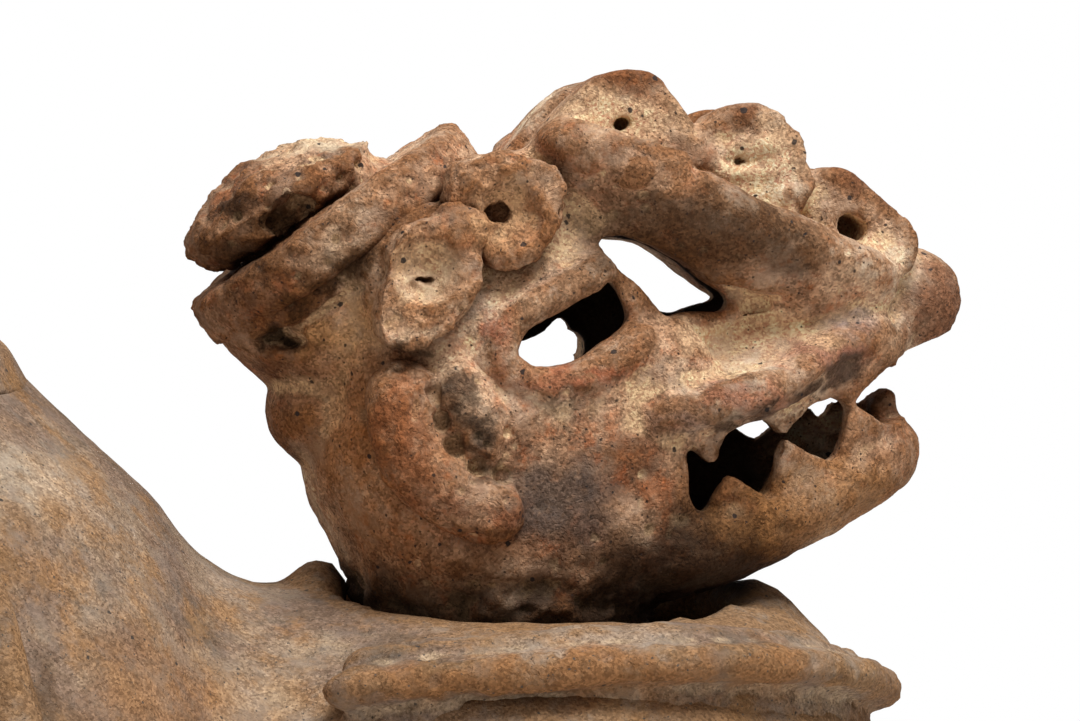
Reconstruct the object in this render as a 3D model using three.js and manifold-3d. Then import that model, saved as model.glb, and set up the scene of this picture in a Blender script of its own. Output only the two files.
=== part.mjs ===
// Effigy urn: a coil-built earthenware jar whose chest carries a loose animal head as its stopper.
// Millimetres, +Z up, +X the way the animal looks. The origin is the middle of the flat base.
// Head sizes are taken from the head's own origin, the middle of the socket at its rim.

import Module from "manifold-3d";
import * as THREE from "three";
import { mergeVertices } from "three/addons/utils/BufferGeometryUtils.js";

const wasm = await Module();
wasm.setup();

// Slip joint between a luted piece and the clay that carries it
const JOINT_GAP = 0.3;

// Jar
const JAR_X = -75;
const URN_WALL = 9;
const BASE_THICKNESS = 10;
const BASE_RADIUS = 92;
const BELLY_RADIUS = 148;
const BELLY_Z = 125;
const BELLY_FOOT_Z = 40;
const BELLY_TURN_Z = 180;
const SHOULDER_RADIUS = 107;
const SHOULDER_Z = 228;
const MOUTH_RADIUS = 60;
const MOUTH_Z = 271;
const NECK_WAIST_RADIUS = 50;
const NECK_HEIGHT = 38;
const NECK_BORE_RADIUS = 46;
const LIP_RADIUS = 62;
const LIP_HEIGHT = 11;
const SHOULDER_RING_HALF_WIDTH = 13;
const SHOULDER_RING_HEIGHT = 4;

// Chest
const CHEST_X = 122;
const CHEST_BASE_RADIUS = 72;
const CHEST_RADIUS = 96;
const CHEST_Z = 118;
const CHEST_FOOT_Z = 42;
const CHEST_TURN_Z = 173;
const CHEST_EDGE_RADIUS = 76;
const CHEST_EDGE_Z = 192;
const CHEST_TOP_RADIUS = 42;
const CHEST_TOP_Z = 204;
const CHEST_SIDE_SHARE = 1.05;
const CHEST_SIDE_DROP = 4;
const CHEST_FRONT_RISE = 3;
const WAIST_BLEND = 28;
const HEART_X = 33.5;

// Keel: the swell of the belly that joins jar and chest underneath
const KEEL_X = 40;
const KEEL_Z = 84;
const KEEL_HALF_LENGTH = 105;
const KEEL_HALF_WIDTH = 94;
const KEEL_HALF_HEIGHT = 100;

// Chest collar: half of its way round
const COLLAR_RADIUS = 8;
const COLLAR_FRONT_Z = 183;
const COLLAR_SIDE_Z = 189;
const COLLAR_END_Z = 182;
const COLLAR_END_X = 66;
const COLLAR_END_Y = 78;
const COLLAR_SIDE_X = 142;
const COLLAR_SIDE_Y = 79;
const COLLAR_QUARTER_X = 194;
const COLLAR_QUARTER_Y = 47;
const COLLAR_FRONT_X = 211;

// Flank straps, down the jar at a turn from straight ahead
const STRAP_TURN = THREE.MathUtils.degToRad(64);
const STRAP_RADIUS = 8;
const STRAP_TOP_Z = 243;
const STRAP_LOW_Z = 95;

// Socket
const SOCKET_X = 127;
const SOCKET_RIM_DROP = 4;
const SOCKET_RIM_Z = CHEST_TOP_Z - SOCKET_RIM_DROP;
const SOCKET_HALF_LENGTH = 53;
const SOCKET_HALF_WIDTH = 44;
const SEAT_DEPTH = 26;
const SEAT_THICKNESS = 8;
const SEAT_BORE_RADIUS = 23;
const SEAT_SLEEVE = 7;

// Head shell
const HEAD_WALL = 7;
const SEAM_Z = 28;
const TENON_X = -7;
const TENON_RADIUS = 33;
const TENON_BORE_RADIUS = 25;
const NECK_RADIUS = 36;
const NECK_TOP_X = -4;
const NECK_TOP_RADIUS = 45;
const NECK_TOP_Z = 14;
const CHEEK_X = 12;
const CHEEK_Z = 38;
const CHEEK_HALF_LENGTH = 36;
const CHEEK_HALF_WIDTH = 41;
const CHEEK_HALF_HEIGHT = 28;
const THROAT_SWELL = 9;
const THROAT_TOP_Z = 58.5;
const LID_POINTS = 4;
const LID_BAND = 5;
const LID_SETBACK = 3;
const LID_RISE = 3;
const LIP_BAND = 7;
const LIP_RISE = 2.5;
const RIDGE_RISE = 4;
const RIDGE_INNER_Y = 12;
const POKE_RADIUS = 3;

// Headdress plates, tilted up towards the front
const PLATE_TILT = THREE.MathUtils.degToRad(-32.5);
const BRIM_X = -49;
const BRIM_Z = 89.5;
const BRIM_HALF_LENGTH = 38.5;
const BRIM_HALF_WIDTH = 36;
const BRIM_THICKNESS = 13;
const CROWN_RISE = 16.5;
const CROWN_SETBACK = 5;
const CROWN_HALF_LENGTH = 29;
const CROWN_HALF_WIDTH = 26;
const CROWN_THICKNESS = 14;
const CROWN_CORE_RADIUS = 19;

// How finely the curved forms are cut up
const BODY_AROUND = 40;
const BODY_RINGS = 28;
const CAVITY_AROUND = 24;
const CAVITY_RINGS = 16;
const LOFT_AROUND = 20;
const CAVITY_LOFT_AROUND = 12;
const LOFT_PER_SPAN = 2;
const CAVITY_PER_SPAN = 1;
const LATHE_AROUND = 32;
const CURVE_STEPS = 8;
const ROUND_STEPS = 4;
const OUTLINE_STEPS = 16;
const PEBBLE_AROUND = 12;
const PEBBLE_RINGS = 8;
const ROLL_AROUND = 8;
const ROLL_STEPS = 16;
const COLLAR_STEPS = 30;
const SEARCH_STEPS = 30;
const FAR = 600;
const SIDE_REACH = 2 * CHEEK_HALF_WIDTH;
const SQUARENESS = 2.5;
const LEAST_HALF = 1.5;
const MERGE_WITHIN = 1e-4;
const STEEP = 0.9;

const CLAY = new THREE.MeshStandardMaterial({ color: 0xa5805c, roughness: 0.92, metalness: 0 });
const HEAD_CLAY = new THREE.MeshStandardMaterial({ color: 0x97714e, roughness: 0.92, metalness: 0 });

// Skull, muzzle and jaw: x, z, half width, half height of each section from back to front
const SKULL = [
  [-56, 60, 12, 13],
  [-46, 59, 29, 30],
  [-28, 57, 38, 38],
  [-6, 58.5, 41, 43],
  [16, 67, 39, 46],
  [38, 74, 34, 41],
  [58, 77, 28, 34],
  [76, 74, 24, 25],
  [90, 71, 19, 15],
  [98, 70, 11, 8],
];
const MUZZLE = [
  [18, 40, 38, 16],
  [38, 46, 36, 13],
  [58, 53, 32, 12],
  [78, 60, 26, 11],
  [90, 65, 20, 10],
  [98, 68, 11, 7],
];
const JAW = [
  [8, 22, 36, 17],
  [30, 18, 36, 14],
  [50, 19.5, 32, 13],
  [70, 27, 27, 13.5],
  [86, 33.5, 21, 12],
  [95, 36, 13, 8.5],
  [99, 37, 7, 5],
];

// Nape under the brim: how far down and how wide each ring is, as shares of the brim
const NAPE = [[0.15, 0.92], [0.8, 0.8], [1.6, 0.62]];

// Side outlines as x, z: the mouth from its corner along the upper lip and back along the lower one
const UPPER_LIP = [[36, 36], [49, 43], [64, 48], [77.5, 53], [90, 60]];
const LOWER_LIP = [[90, 43.5], [75.5, 36.5], [53.5, 27.5], [37, 21.5]];
const MOUTH_CORNER = [34, 29];
const MOUTH_FRONT_X = 115;
const MOUTH_FRONT_TOP_Z = 71;
const MOUTH_FRONT_LOW_Z = 53;
const EYE = [
  [-11, 63], [-6, 69], [4, 74], [12.5, 79], [17.5, 75], [18.5, 69], [10, 63.5], [-1, 58.5], [-8, 59],
];
const SNOUT_WINDOW = [
  [12, 88], [21, 88.5], [34, 81], [40.5, 75], [38, 71.5], [28, 71], [23, 74.5], [17, 81],
];
// The left openings are cut a little away from the right ones, as x and z
const LEFT_EYE_SHIFT = [1, -4];
const LEFT_WINDOW_SHIFT = [9, 1];

// Lower edge of the brow ridge as x, z, and how far up the skull it is taken
const RIDGE_LOW = [[7, 94], [14, 91], [22, 90.5], [35, 83], [43, 77], [58, 76], [74, 74], [88, 71]];
const RIDGE_BAND = 40;

// Poked pellets: name, x, z, side reach, half length, half thickness, half height, tilt in degrees
const RUFF_LUGS = [
  ["ruff_lug_low", -34, 79, 36, 13, 9, 17, 10],
  ["ruff_lug_high", -10, 97, 32, 15, 9, 15, -20],
];
const CREST_LUGS = [
  ["crest_lug_back", 18, 118, 27, 14.5, 6, 14, 5],
  ["crest_lug_middle", 52, 111, 23, 13, 6, 13, 20],
  ["crest_lug_front", 79, 97, 18, 13, 6, 13, 40],
];
const POKE_DROP = 2;

const NOSE = { x: 98, z: 76, halfLength: 12, halfWidth: 17, halfHeight: 13 };
const NAPE_KNOB = { x: -57, z: 46, halfLength: 9, halfWidth: 12, halfHeight: 10 };

// Cheek roll: x, side reach, z
const CHEEK_ROLL = [[-36, 37, 62], [-36, 36, 45], [-30, 37, 33], [-21, 38, 26], [-9, 39, 23]];
const CHEEK_ROLL_RADIUS = 7.5;

// Teeth: place along the lip, half base, height
const LOWER_TEETH = [[47, 6.5, 7], [65, 7.5, 9], [84, 4.5, 7.5]];
const UPPER_TEETH = [[42, 5.5, 7], [58.5, 5.5, 6.5], [74.5, 6.5, 5]];
const TOOTH_TIP_SHARE = 0.35;
const TOOTH_THICKNESS = 6;

// Turns a geometry into a solid with its faces outwards.
function solidOf(geometry) {
  const bare = geometry.clone();
  bare.deleteAttribute("normal");
  bare.deleteAttribute("uv");
  const merged = mergeVertices(bare, MERGE_WITHIN);
  const corners = Array.from(merged.index.array);
  const triVerts = [];
  for (let i = 0; i < corners.length; i += 3) {
    const [a, b, c] = corners.slice(i, i + 3);
    if (a !== b && b !== c && c !== a) {
      triVerts.push(a, b, c);
    }
  }
  const vertProperties = new Float32Array(merged.getAttribute("position").array);
  const build = (order) =>
    new wasm.Manifold(new wasm.Mesh({ numProp: 3, vertProperties, triVerts: new Uint32Array(order) }));
  const solid = build(triVerts);
  if (solid.volume() > 0) {
    return solid;
  }
  const turned = [];
  for (let i = 0; i < triVerts.length; i += 3) {
    turned.push(triVerts[i], triVerts[i + 2], triVerts[i + 1]);
  }
  return build(turned);
}

// Turns a solid back into a geometry.
function geometryOf(solid) {
  const mesh = solid.getMesh();
  const geometry = new THREE.BufferGeometry();
  geometry.setAttribute("position", new THREE.BufferAttribute(new Float32Array(mesh.vertProperties), 3));
  geometry.setIndex(new THREE.BufferAttribute(new Uint32Array(mesh.triVerts), 1));
  geometry.computeVertexNormals();
  return geometry;
}

// Joins solids into one.
function joined(...solids) {
  return solids.reduce((all, solid) => all.add(solid));
}

// A geometry whose vertices are each moved by a function.
function reshaped(geometry, move) {
  const position = geometry.getAttribute("position");
  const point = new THREE.Vector3();
  for (let i = 0; i < position.count; i += 1) {
    point.fromBufferAttribute(position, i);
    move(point);
    position.setXYZ(i, point.x, point.y, point.z);
  }
  return geometry;
}

// A ball with its own half sizes, turned about Y and moved into place.
function pebble(centre, half, tilt = 0, around = PEBBLE_AROUND, rings = PEBBLE_RINGS) {
  const geometry = new THREE.SphereGeometry(1, around, rings);
  geometry.scale(half[0], half[1], half[2]);
  geometry.rotateY(tilt);
  geometry.translate(centre[0], centre[1], centre[2]);
  return solidOf(geometry);
}

// A side outline (x, z) carried across from one y to another.
function prism(outline, fromY, toY) {
  const shape = new THREE.Shape(outline.map(([x, z]) => new THREE.Vector2(x, z)));
  const depth = Math.abs(toY - fromY);
  const geometry = new THREE.ExtrudeGeometry(shape, { depth, bevelEnabled: false });
  geometry.rotateX(Math.PI / 2);
  geometry.translate(0, Math.max(fromY, toY), 0);
  return solidOf(geometry);
}

// A side outline as a smooth closed curve through its points.
function rounded(outline, steps) {
  const points = outline.map(([x, z]) => new THREE.Vector3(x, 0, z));
  const curve = new THREE.CatmullRomCurve3(points, true);
  return curve.getPoints(steps).slice(0, -1).map((point) => [point.x, point.z]);
}

// A closed solid through rings, each a centre with two half axes, all grown alike.
function loft(rings, grow, around, perSpan) {
  const longer = (axis) => axis.clone().setLength(Math.max(axis.length() + grow, LEAST_HALF));
  const centres = rings.map((ring) => ring.centre.clone());
  const last = centres.length - 1;
  const startWay = centres[0].clone().sub(centres[1]).normalize();
  const endWay = centres[last].clone().sub(centres[last - 1]).normalize();
  centres[0].addScaledVector(startWay, grow);
  centres[last].addScaledVector(endWay, grow);
  const path = new THREE.CatmullRomCurve3(centres);
  const across = new THREE.CatmullRomCurve3(rings.map((ring) => longer(ring.across)));
  const upright = new THREE.CatmullRomCurve3(rings.map((ring) => longer(ring.upright)));
  const full = (wave) => Math.sign(wave) * Math.abs(wave) ** (2 / SQUARENESS);
  const geometry = new THREE.CylinderGeometry(1, 1, 1, around, last * perSpan);
  reshaped(geometry, (point) => {
    const share = 0.5 - point.y;
    const reach = Math.hypot(point.x, point.z);
    const turn = Math.atan2(point.z, point.x);
    point.copy(path.getPoint(share));
    point.addScaledVector(across.getPoint(share), reach * full(Math.cos(turn)));
    point.addScaledVector(upright.getPoint(share), reach * full(Math.sin(turn)));
  });
  return solidOf(geometry);
}

// Rings of a loft that runs forwards, from rows of x, z, half width and half height.
function forwardRings(rows) {
  return rows.map(([x, z, halfWidth, halfHeight]) => ({
    centre: new THREE.Vector3(x, 0, z),
    across: new THREE.Vector3(0, halfWidth, 0),
    upright: new THREE.Vector3(0, 0, halfHeight),
  }));
}

// Half width of a forward loft at a place along it and a height.
function halfWidthAt(rows, x, z) {
  const next = Math.max(1, rows.findIndex((row) => row[0] >= x));
  const before = rows[next - 1];
  const after = rows[next];
  const share = (x - before[0]) / (after[0] - before[0]);
  const [, middle, halfWidth, halfHeight] = before.map((value, i) => value + share * (after[i] - value));
  const rise = Math.min(1, Math.abs(z - middle) / halfHeight);
  return halfWidth * (1 - rise ** SQUARENESS) ** (1 / SQUARENESS);
}

// A hand-rolled strip of clay with rounded ends, along points.
function clayRoll(points, radius, steps = ROLL_STEPS) {
  const curve = new THREE.CatmullRomCurve3(points.map((point) => new THREE.Vector3(...point)));
  const length = curve.getLength();
  const geometry = new THREE.SphereGeometry(1, ROLL_AROUND, steps);
  const side = new THREE.Vector3();
  const over = new THREE.Vector3();
  const up = new THREE.Vector3(0, 0, 1);
  const ahead = new THREE.Vector3(1, 0, 0);
  reshaped(geometry, (point) => {
    const share = Math.acos(THREE.MathUtils.clamp(point.y, -1, 1)) / Math.PI;
    const turn = Math.atan2(point.z, point.x);
    const way = curve.getTangentAt(share);
    side.crossVectors(way, Math.abs(way.z) > STEEP ? ahead : up).normalize();
    over.crossVectors(side, way).normalize();
    const toEnd = Math.min(share, 1 - share) * length;
    const thin = Math.max(0, 1 - toEnd / radius);
    const girth = share === 0 || share === 1 ? 0 : radius * Math.sqrt(1 - thin * thin);
    point.copy(curve.getPointAt(share));
    point.addScaledVector(side, girth * Math.cos(turn));
    point.addScaledVector(over, girth * Math.sin(turn));
  });
  return solidOf(geometry);
}

// A thick plate with a rounded edge, tilted like the headdress and set at a place.
function plate(x, z, halfLength, halfWidth, thickness) {
  const edge = thickness / 2;
  const outline = new THREE.Path();
  outline.moveTo(0, -edge);
  outline.lineTo(halfLength - edge, -edge);
  outline.absarc(halfLength - edge, 0, edge, -Math.PI / 2, Math.PI / 2);
  outline.lineTo(0, edge);
  const geometry = new THREE.LatheGeometry(outline.getPoints(ROUND_STEPS), LOFT_AROUND);
  geometry.rotateX(Math.PI / 2);
  geometry.scale(1, halfWidth / halfLength, 1);
  geometry.rotateY(PLATE_TILT);
  geometry.translate(x, 0, z);
  return solidOf(geometry);
}

// Distance from an open outline that starts and ends on the axis, less than nothing inside it.
function outlineDistance(points, radius, height) {
  let nearest = Infinity;
  let inside = false;
  for (let i = 1; i < points.length; i += 1) {
    const from = points[i - 1];
    const edgeR = points[i].x - from.x;
    const edgeZ = points[i].y - from.y;
    const toR = radius - from.x;
    const toZ = height - from.y;
    const share = (toR * edgeR + toZ * edgeZ) / (edgeR * edgeR + edgeZ * edgeZ);
    const along = THREE.MathUtils.clamp(share, 0, 1);
    nearest = Math.min(nearest, Math.hypot(toR - along * edgeR, toZ - along * edgeZ));
    const crosses = from.y > height !== points[i].y > height;
    if (crosses && toR < (toZ / edgeZ) * edgeR) {
      inside = !inside;
    }
  }
  return inside ? -nearest : nearest;
}

// The jar's outline as radius and height, closed over above the mouth.
function jarOutline() {
  const outline = new THREE.Path();
  outline.moveTo(0, -BASE_THICKNESS);
  outline.lineTo(BASE_RADIUS, -BASE_THICKNESS);
  outline.lineTo(BASE_RADIUS, 0);
  outline.quadraticCurveTo(BELLY_RADIUS, BELLY_FOOT_Z, BELLY_RADIUS, BELLY_Z);
  outline.quadraticCurveTo(BELLY_RADIUS, BELLY_TURN_Z, SHOULDER_RADIUS, SHOULDER_Z);
  outline.lineTo(MOUTH_RADIUS, MOUTH_Z);
  outline.lineTo(0, MOUTH_Z + MOUTH_RADIUS);
  return outline.getPoints(CURVE_STEPS);
}

// The chest's outline as radius and height.
function chestOutline() {
  const outline = new THREE.Path();
  outline.moveTo(0, -BASE_THICKNESS);
  outline.lineTo(CHEST_BASE_RADIUS, -BASE_THICKNESS);
  outline.lineTo(CHEST_BASE_RADIUS, 0);
  outline.quadraticCurveTo(CHEST_RADIUS, CHEST_FOOT_Z, CHEST_RADIUS, CHEST_Z);
  outline.quadraticCurveTo(CHEST_RADIUS, CHEST_TURN_Z, CHEST_EDGE_RADIUS, CHEST_EDGE_Z);
  const brink = (CHEST_EDGE_RADIUS + CHEST_TOP_RADIUS) / 2;
  outline.quadraticCurveTo(brink, CHEST_TOP_Z, CHEST_TOP_RADIUS, CHEST_TOP_Z);
  outline.lineTo(0, CHEST_TOP_Z);
  return outline.getPoints(CURVE_STEPS);
}

const JAR_OUTLINE = jarOutline();
const CHEST_OUTLINE = chestOutline();

// Two distances melted into one, so that the forms flow into each other.
function melted(one, other) {
  const melt = Math.max(WAIST_BLEND - Math.abs(one - other), 0) / WAIST_BLEND;
  return Math.min(one, other) - (melt * melt * WAIST_BLEND) / 4;
}

// Distance from the keel, near enough for a form this round.
function keelDistance(point) {
  const x = (point.x - KEEL_X) / KEEL_HALF_LENGTH;
  const y = point.y / KEEL_HALF_WIDTH;
  const z = (point.z - KEEL_Z) / KEEL_HALF_HEIGHT;
  return (Math.hypot(x, y, z) - 1) * KEEL_HALF_WIDTH;
}

// Distance from the outside of the urn's body, with jar, chest and keel melted together.
function bodyDistance(point) {
  const jar = outlineDistance(JAR_OUTLINE, Math.hypot(point.x - JAR_X, point.y), point.z);
  const chestReach = Math.hypot(point.x - CHEST_X, point.y / CHEST_SIDE_SHARE);
  const sideways = Math.min(1, Math.abs(point.y) / SOCKET_HALF_WIDTH);
  const ahead = THREE.MathUtils.clamp((point.x - SOCKET_X) / SOCKET_HALF_LENGTH, 0, 1);
  const lift = CHEST_FRONT_RISE * ahead - CHEST_SIDE_DROP * sideways * sideways;
  const chest = outlineDistance(CHEST_OUTLINE, chestReach, point.z - lift);
  return melted(melted(jar, chest), keelDistance(point));
}

// The urn's body as a solid, grown or shrunk: a ball whose points are pushed out to the outside.
function bodyForm(grow, around = BODY_AROUND, rings = BODY_RINGS) {
  const heart = new THREE.Vector3(HEART_X, 0, CHEST_Z);
  const geometry = new THREE.SphereGeometry(1, around, rings);
  geometry.rotateX(Math.PI / 2);
  const probe = new THREE.Vector3();
  reshaped(geometry, (point) => {
    let near = 0;
    let far = FAR;
    for (let i = 0; i < SEARCH_STEPS; i += 1) {
      const middle = (near + far) / 2;
      probe.copy(heart).addScaledVector(point, middle);
      if (bodyDistance(probe) < grow) {
        near = middle;
      } else {
        far = middle;
      }
    }
    point.multiplyScalar(near).add(heart);
  });
  return solidOf(geometry);
}

// Everything between two heights, as a block.
function slab(lowZ, highZ) {
  const geometry = new THREE.BoxGeometry(2 * FAR, 2 * FAR, highZ - lowZ);
  geometry.translate(0, 0, (lowZ + highZ) / 2);
  return solidOf(geometry);
}

// An upright oval column at the socket.
function socketColumn(halfLength, halfWidth, lowZ, highZ) {
  const geometry = new THREE.CylinderGeometry(1, 1, highZ - lowZ, LATHE_AROUND);
  geometry.rotateX(Math.PI / 2);
  geometry.scale(halfLength, halfWidth, 1);
  geometry.translate(SOCKET_X, 0, (lowZ + highZ) / 2);
  return solidOf(geometry);
}

// A ring turned about the jar's axis from a closed outline of radius and height.
function jarRing(outline) {
  const geometry = new THREE.LatheGeometry(outline, LATHE_AROUND);
  geometry.rotateX(Math.PI / 2);
  geometry.translate(JAR_X, 0, 0);
  return solidOf(geometry);
}

// The skull, muzzle, jaw, neck, nape and cheeks as one solid, grown or shrunk.
function headForm(grow, around = LOFT_AROUND, perSpan = LOFT_PER_SPAN) {
  const tenonRings = [
    [-SEAT_DEPTH, TENON_X, TENON_RADIUS],
    [0, TENON_X, NECK_RADIUS],
    [NECK_TOP_Z, NECK_TOP_X, NECK_TOP_RADIUS],
    [CHEEK_Z, NECK_TOP_X, NECK_TOP_RADIUS + THROAT_SWELL],
    [THROAT_TOP_Z, NECK_TOP_X, NECK_TOP_RADIUS],
  ].map(([z, x, radius]) => ({
    centre: new THREE.Vector3(x, 0, z),
    across: new THREE.Vector3(radius, 0, 0),
    upright: new THREE.Vector3(0, Math.min(radius, CHEEK_HALF_WIDTH), 0),
  }));
  const way = new THREE.Vector3(Math.sin(PLATE_TILT), 0, Math.cos(PLATE_TILT));
  const along = new THREE.Vector3(Math.cos(PLATE_TILT), 0, -Math.sin(PLATE_TILT));
  const brim = new THREE.Vector3(BRIM_X, 0, BRIM_Z);
  const napeRings = NAPE.map(([drop, share]) => ({
    centre: brim.clone().addScaledVector(way, -drop * BRIM_HALF_WIDTH),
    across: along.clone().multiplyScalar(share * BRIM_HALF_LENGTH),
    upright: new THREE.Vector3(0, share * BRIM_HALF_WIDTH, 0),
  }));
  return joined(
    loft(forwardRings(SKULL), grow, around, perSpan),
    loft(forwardRings(MUZZLE), grow, around, perSpan),
    loft(forwardRings(JAW), grow, around, perSpan),
    loft(tenonRings, grow, around, perSpan),
    loft(napeRings, grow, around, perSpan),
    pebble(
      [CHEEK_X, 0, CHEEK_Z],
      [CHEEK_HALF_LENGTH + grow, CHEEK_HALF_WIDTH + grow, CHEEK_HALF_HEIGHT + grow],
      0,
      around,
      around / 2,
    ),
  );
}

const mouth = [
  MOUTH_CORNER,
  ...UPPER_LIP,
  [MOUTH_FRONT_X, MOUTH_FRONT_TOP_Z],
  [MOUTH_FRONT_X, MOUTH_FRONT_LOW_Z],
  ...LOWER_LIP,
];
const eyeOutline = rounded(EYE, OUTLINE_STEPS);
const windowOutline = rounded(SNOUT_WINDOW, OUTLINE_STEPS);
const bodyOuter = bodyForm(0);
const bodySeat = bodyForm(JOINT_GAP);
const bodyCavity = bodyForm(-URN_WALL, CAVITY_AROUND, CAVITY_RINGS);
const headOuter = headForm(0);
const headSeat = headForm(JOINT_GAP);
const headCavity = headForm(-HEAD_WALL, CAVITY_LOFT_AROUND, CAVITY_PER_SPAN);

// Walls of jar and chest, open over the base disc, at the jar's mouth and at the socket.
function makeUrnBody() {
  const hole = socketColumn(SOCKET_HALF_LENGTH, SOCKET_HALF_WIDTH, CHEST_Z, FAR);
  const walls = bodyOuter.subtract(bodyCavity).subtract(hole);
  return walls.intersect(slab(BASE_THICKNESS + JOINT_GAP, MOUTH_Z));
}

// The sleeve that hangs under the chest round the socket.
function makeSocketSleeve() {
  const low = SOCKET_RIM_Z - SEAT_DEPTH - SEAT_THICKNESS;
  const halfLength = SOCKET_HALF_LENGTH + SEAT_SLEEVE;
  const halfWidth = SOCKET_HALF_WIDTH + SEAT_SLEEVE;
  const outside = socketColumn(halfLength, halfWidth, low, CHEST_TOP_Z);
  const well = socketColumn(SOCKET_HALF_LENGTH, SOCKET_HALF_WIDTH, 0, FAR);
  const ceiling = bodyForm(-URN_WALL - JOINT_GAP, CAVITY_AROUND, CAVITY_RINGS);
  return outside.subtract(well).intersect(ceiling);
}

// The flat ledge inside the sleeve that carries the foot of the head's neck.
function makeSeatLedge() {
  const top = SOCKET_RIM_Z - SEAT_DEPTH - JOINT_GAP;
  const halfLength = SOCKET_HALF_LENGTH - JOINT_GAP;
  const halfWidth = SOCKET_HALF_WIDTH - JOINT_GAP;
  const disc = socketColumn(halfLength, halfWidth, top - SEAT_THICKNESS, top);
  return disc.subtract(socketColumn(SEAT_BORE_RADIUS, SEAT_BORE_RADIUS, 0, FAR));
}

// The jar's neck with its flat-topped lip.
function makeJarNeck() {
  const foot = MOUTH_Z + JOINT_GAP;
  const top = MOUTH_Z + NECK_HEIGHT;
  const outline = new THREE.Path();
  outline.moveTo(NECK_BORE_RADIUS, foot);
  outline.lineTo(MOUTH_RADIUS, foot);
  outline.quadraticCurveTo(NECK_WAIST_RADIUS, (foot + top) / 2, LIP_RADIUS, top - LIP_HEIGHT);
  outline.lineTo(LIP_RADIUS, top);
  outline.lineTo(NECK_BORE_RADIUS, top);
  outline.closePath();
  return jarRing(outline.getPoints(ROUND_STEPS));
}

// The moulding round the shoulder below the neck.
function makeShoulderRing() {
  const slope = Math.atan2(MOUTH_Z - SHOULDER_Z, SHOULDER_RADIUS - MOUTH_RADIUS);
  const middle = new THREE.Vector2(MOUTH_RADIUS, MOUTH_Z);
  middle.x += SHOULDER_RING_HALF_WIDTH * Math.cos(slope);
  middle.y -= SHOULDER_RING_HALF_WIDTH * Math.sin(slope);
  const outline = new THREE.EllipseCurve(
    middle.x,
    middle.y,
    SHOULDER_RING_HALF_WIDTH,
    SHOULDER_RING_HEIGHT,
    0,
    2 * Math.PI,
    true,
    -slope,
  );
  const ring = jarRing(outline.getPoints(CURVE_STEPS));
  return ring.subtract(bodySeat).intersect(slab(0, MOUTH_Z));
}

// The roll round the chest below the socket, open behind.
function makeChestCollar() {
  const half = [
    [COLLAR_END_X, COLLAR_END_Y, COLLAR_END_Z],
    [COLLAR_SIDE_X, COLLAR_SIDE_Y, COLLAR_SIDE_Z],
    [COLLAR_QUARTER_X, COLLAR_QUARTER_Y, (COLLAR_SIDE_Z + COLLAR_FRONT_Z) / 2],
  ];
  const mirrored = half.map(([x, y, z]) => [x, -y, z]).reverse();
  const points = [...half, [COLLAR_FRONT_X, 0, COLLAR_FRONT_Z], ...mirrored];
  return clayRoll(points, COLLAR_RADIUS, COLLAR_STEPS).subtract(bodySeat);
}

// The upright strap down one flank of the jar.
function makeFlankStrap(side) {
  const points = [];
  for (let i = 0; i <= CURVE_STEPS; i += 1) {
    const z = STRAP_TOP_Z + (i / CURVE_STEPS) * (STRAP_LOW_Z - STRAP_TOP_Z);
    let reach = 0;
    const probe = new THREE.Vector3();
    do {
      reach += 1;
      probe.set(JAR_X + reach * Math.cos(STRAP_TURN), side * reach * Math.sin(STRAP_TURN), z);
    } while (bodyDistance(probe) < 0);
    points.push([probe.x, probe.y, probe.z]);
  }
  return clayRoll(points, STRAP_RADIUS).subtract(bodySeat);
}

// The eye and the snout window of one side, as a cutter that ends on the middle plane.
function openings(side) {
  const shift = (outline, by) => (side > 0 ? outline.map(([x, z]) => [x + by[0], z + by[1]]) : outline);
  const eye = prism(shift(eyeOutline, LEFT_EYE_SHIFT), 0, side * SIDE_REACH);
  return eye.add(prism(shift(windowOutline, LEFT_WINDOW_SHIFT), 0, side * SIDE_REACH));
}

// The whole head, hollow, with its openings cut through and its foot cut flat and open.
function makeHeadShell() {
  const slit = prism(mouth, -SIDE_REACH, SIDE_REACH);
  const bore = new THREE.CylinderGeometry(TENON_BORE_RADIUS, TENON_BORE_RADIUS, 2 * SEAT_DEPTH, LATHE_AROUND);
  bore.rotateX(Math.PI / 2);
  bore.translate(TENON_X, 0, -SEAT_DEPTH);
  const hollow = headCavity.add(solidOf(bore));
  const shell = headOuter.subtract(hollow).subtract(slit).subtract(openings(-1)).subtract(openings(1));
  return shell.subtract(slab(-FAR, -SEAT_DEPTH));
}

// Everything under the seam, which runs level from the nape and on through the open mouth.
function belowSeam(rise) {
  const seam = [
    [MOUTH_FRONT_X, (MOUTH_FRONT_TOP_Z + MOUTH_FRONT_LOW_Z) / 2],
    [MOUTH_CORNER[0], SEAM_Z + rise],
    [-FAR, SEAM_Z + rise],
  ];
  return prism([[-FAR, -FAR], [MOUTH_FRONT_X, -FAR], ...seam], -SIDE_REACH, SIDE_REACH);
}

// A strip on one side of the head: a side outline laid on the skin with a thickness.
function skinStrip(outline, side, innerY, thickness) {
  const band = prism(outline, side * innerY, side * SIDE_REACH);
  return band.intersect(headForm(thickness)).subtract(headSeat);
}

// The raised upper lid of one eye.
function makeEyeLid(side) {
  const by = side > 0 ? LEFT_EYE_SHIFT : [0, 0];
  const low = EYE.slice(0, LID_POINTS).map(([x, z]) => [x + by[0], z + by[1]]);
  const high = low.map(([x, z]) => [x - LID_SETBACK, z + LID_BAND]).reverse();
  return skinStrip([...low, ...high], side, RIDGE_INNER_Y, LID_RISE).subtract(openings(side));
}

// The raised upper lip of one side.
function makeUpperLip(side) {
  const upper = UPPER_LIP.map(([x, z]) => [x, z + LIP_BAND]).reverse();
  return skinStrip([...UPPER_LIP, ...upper], side, RIDGE_INNER_Y / 2, LIP_RISE);
}

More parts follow.
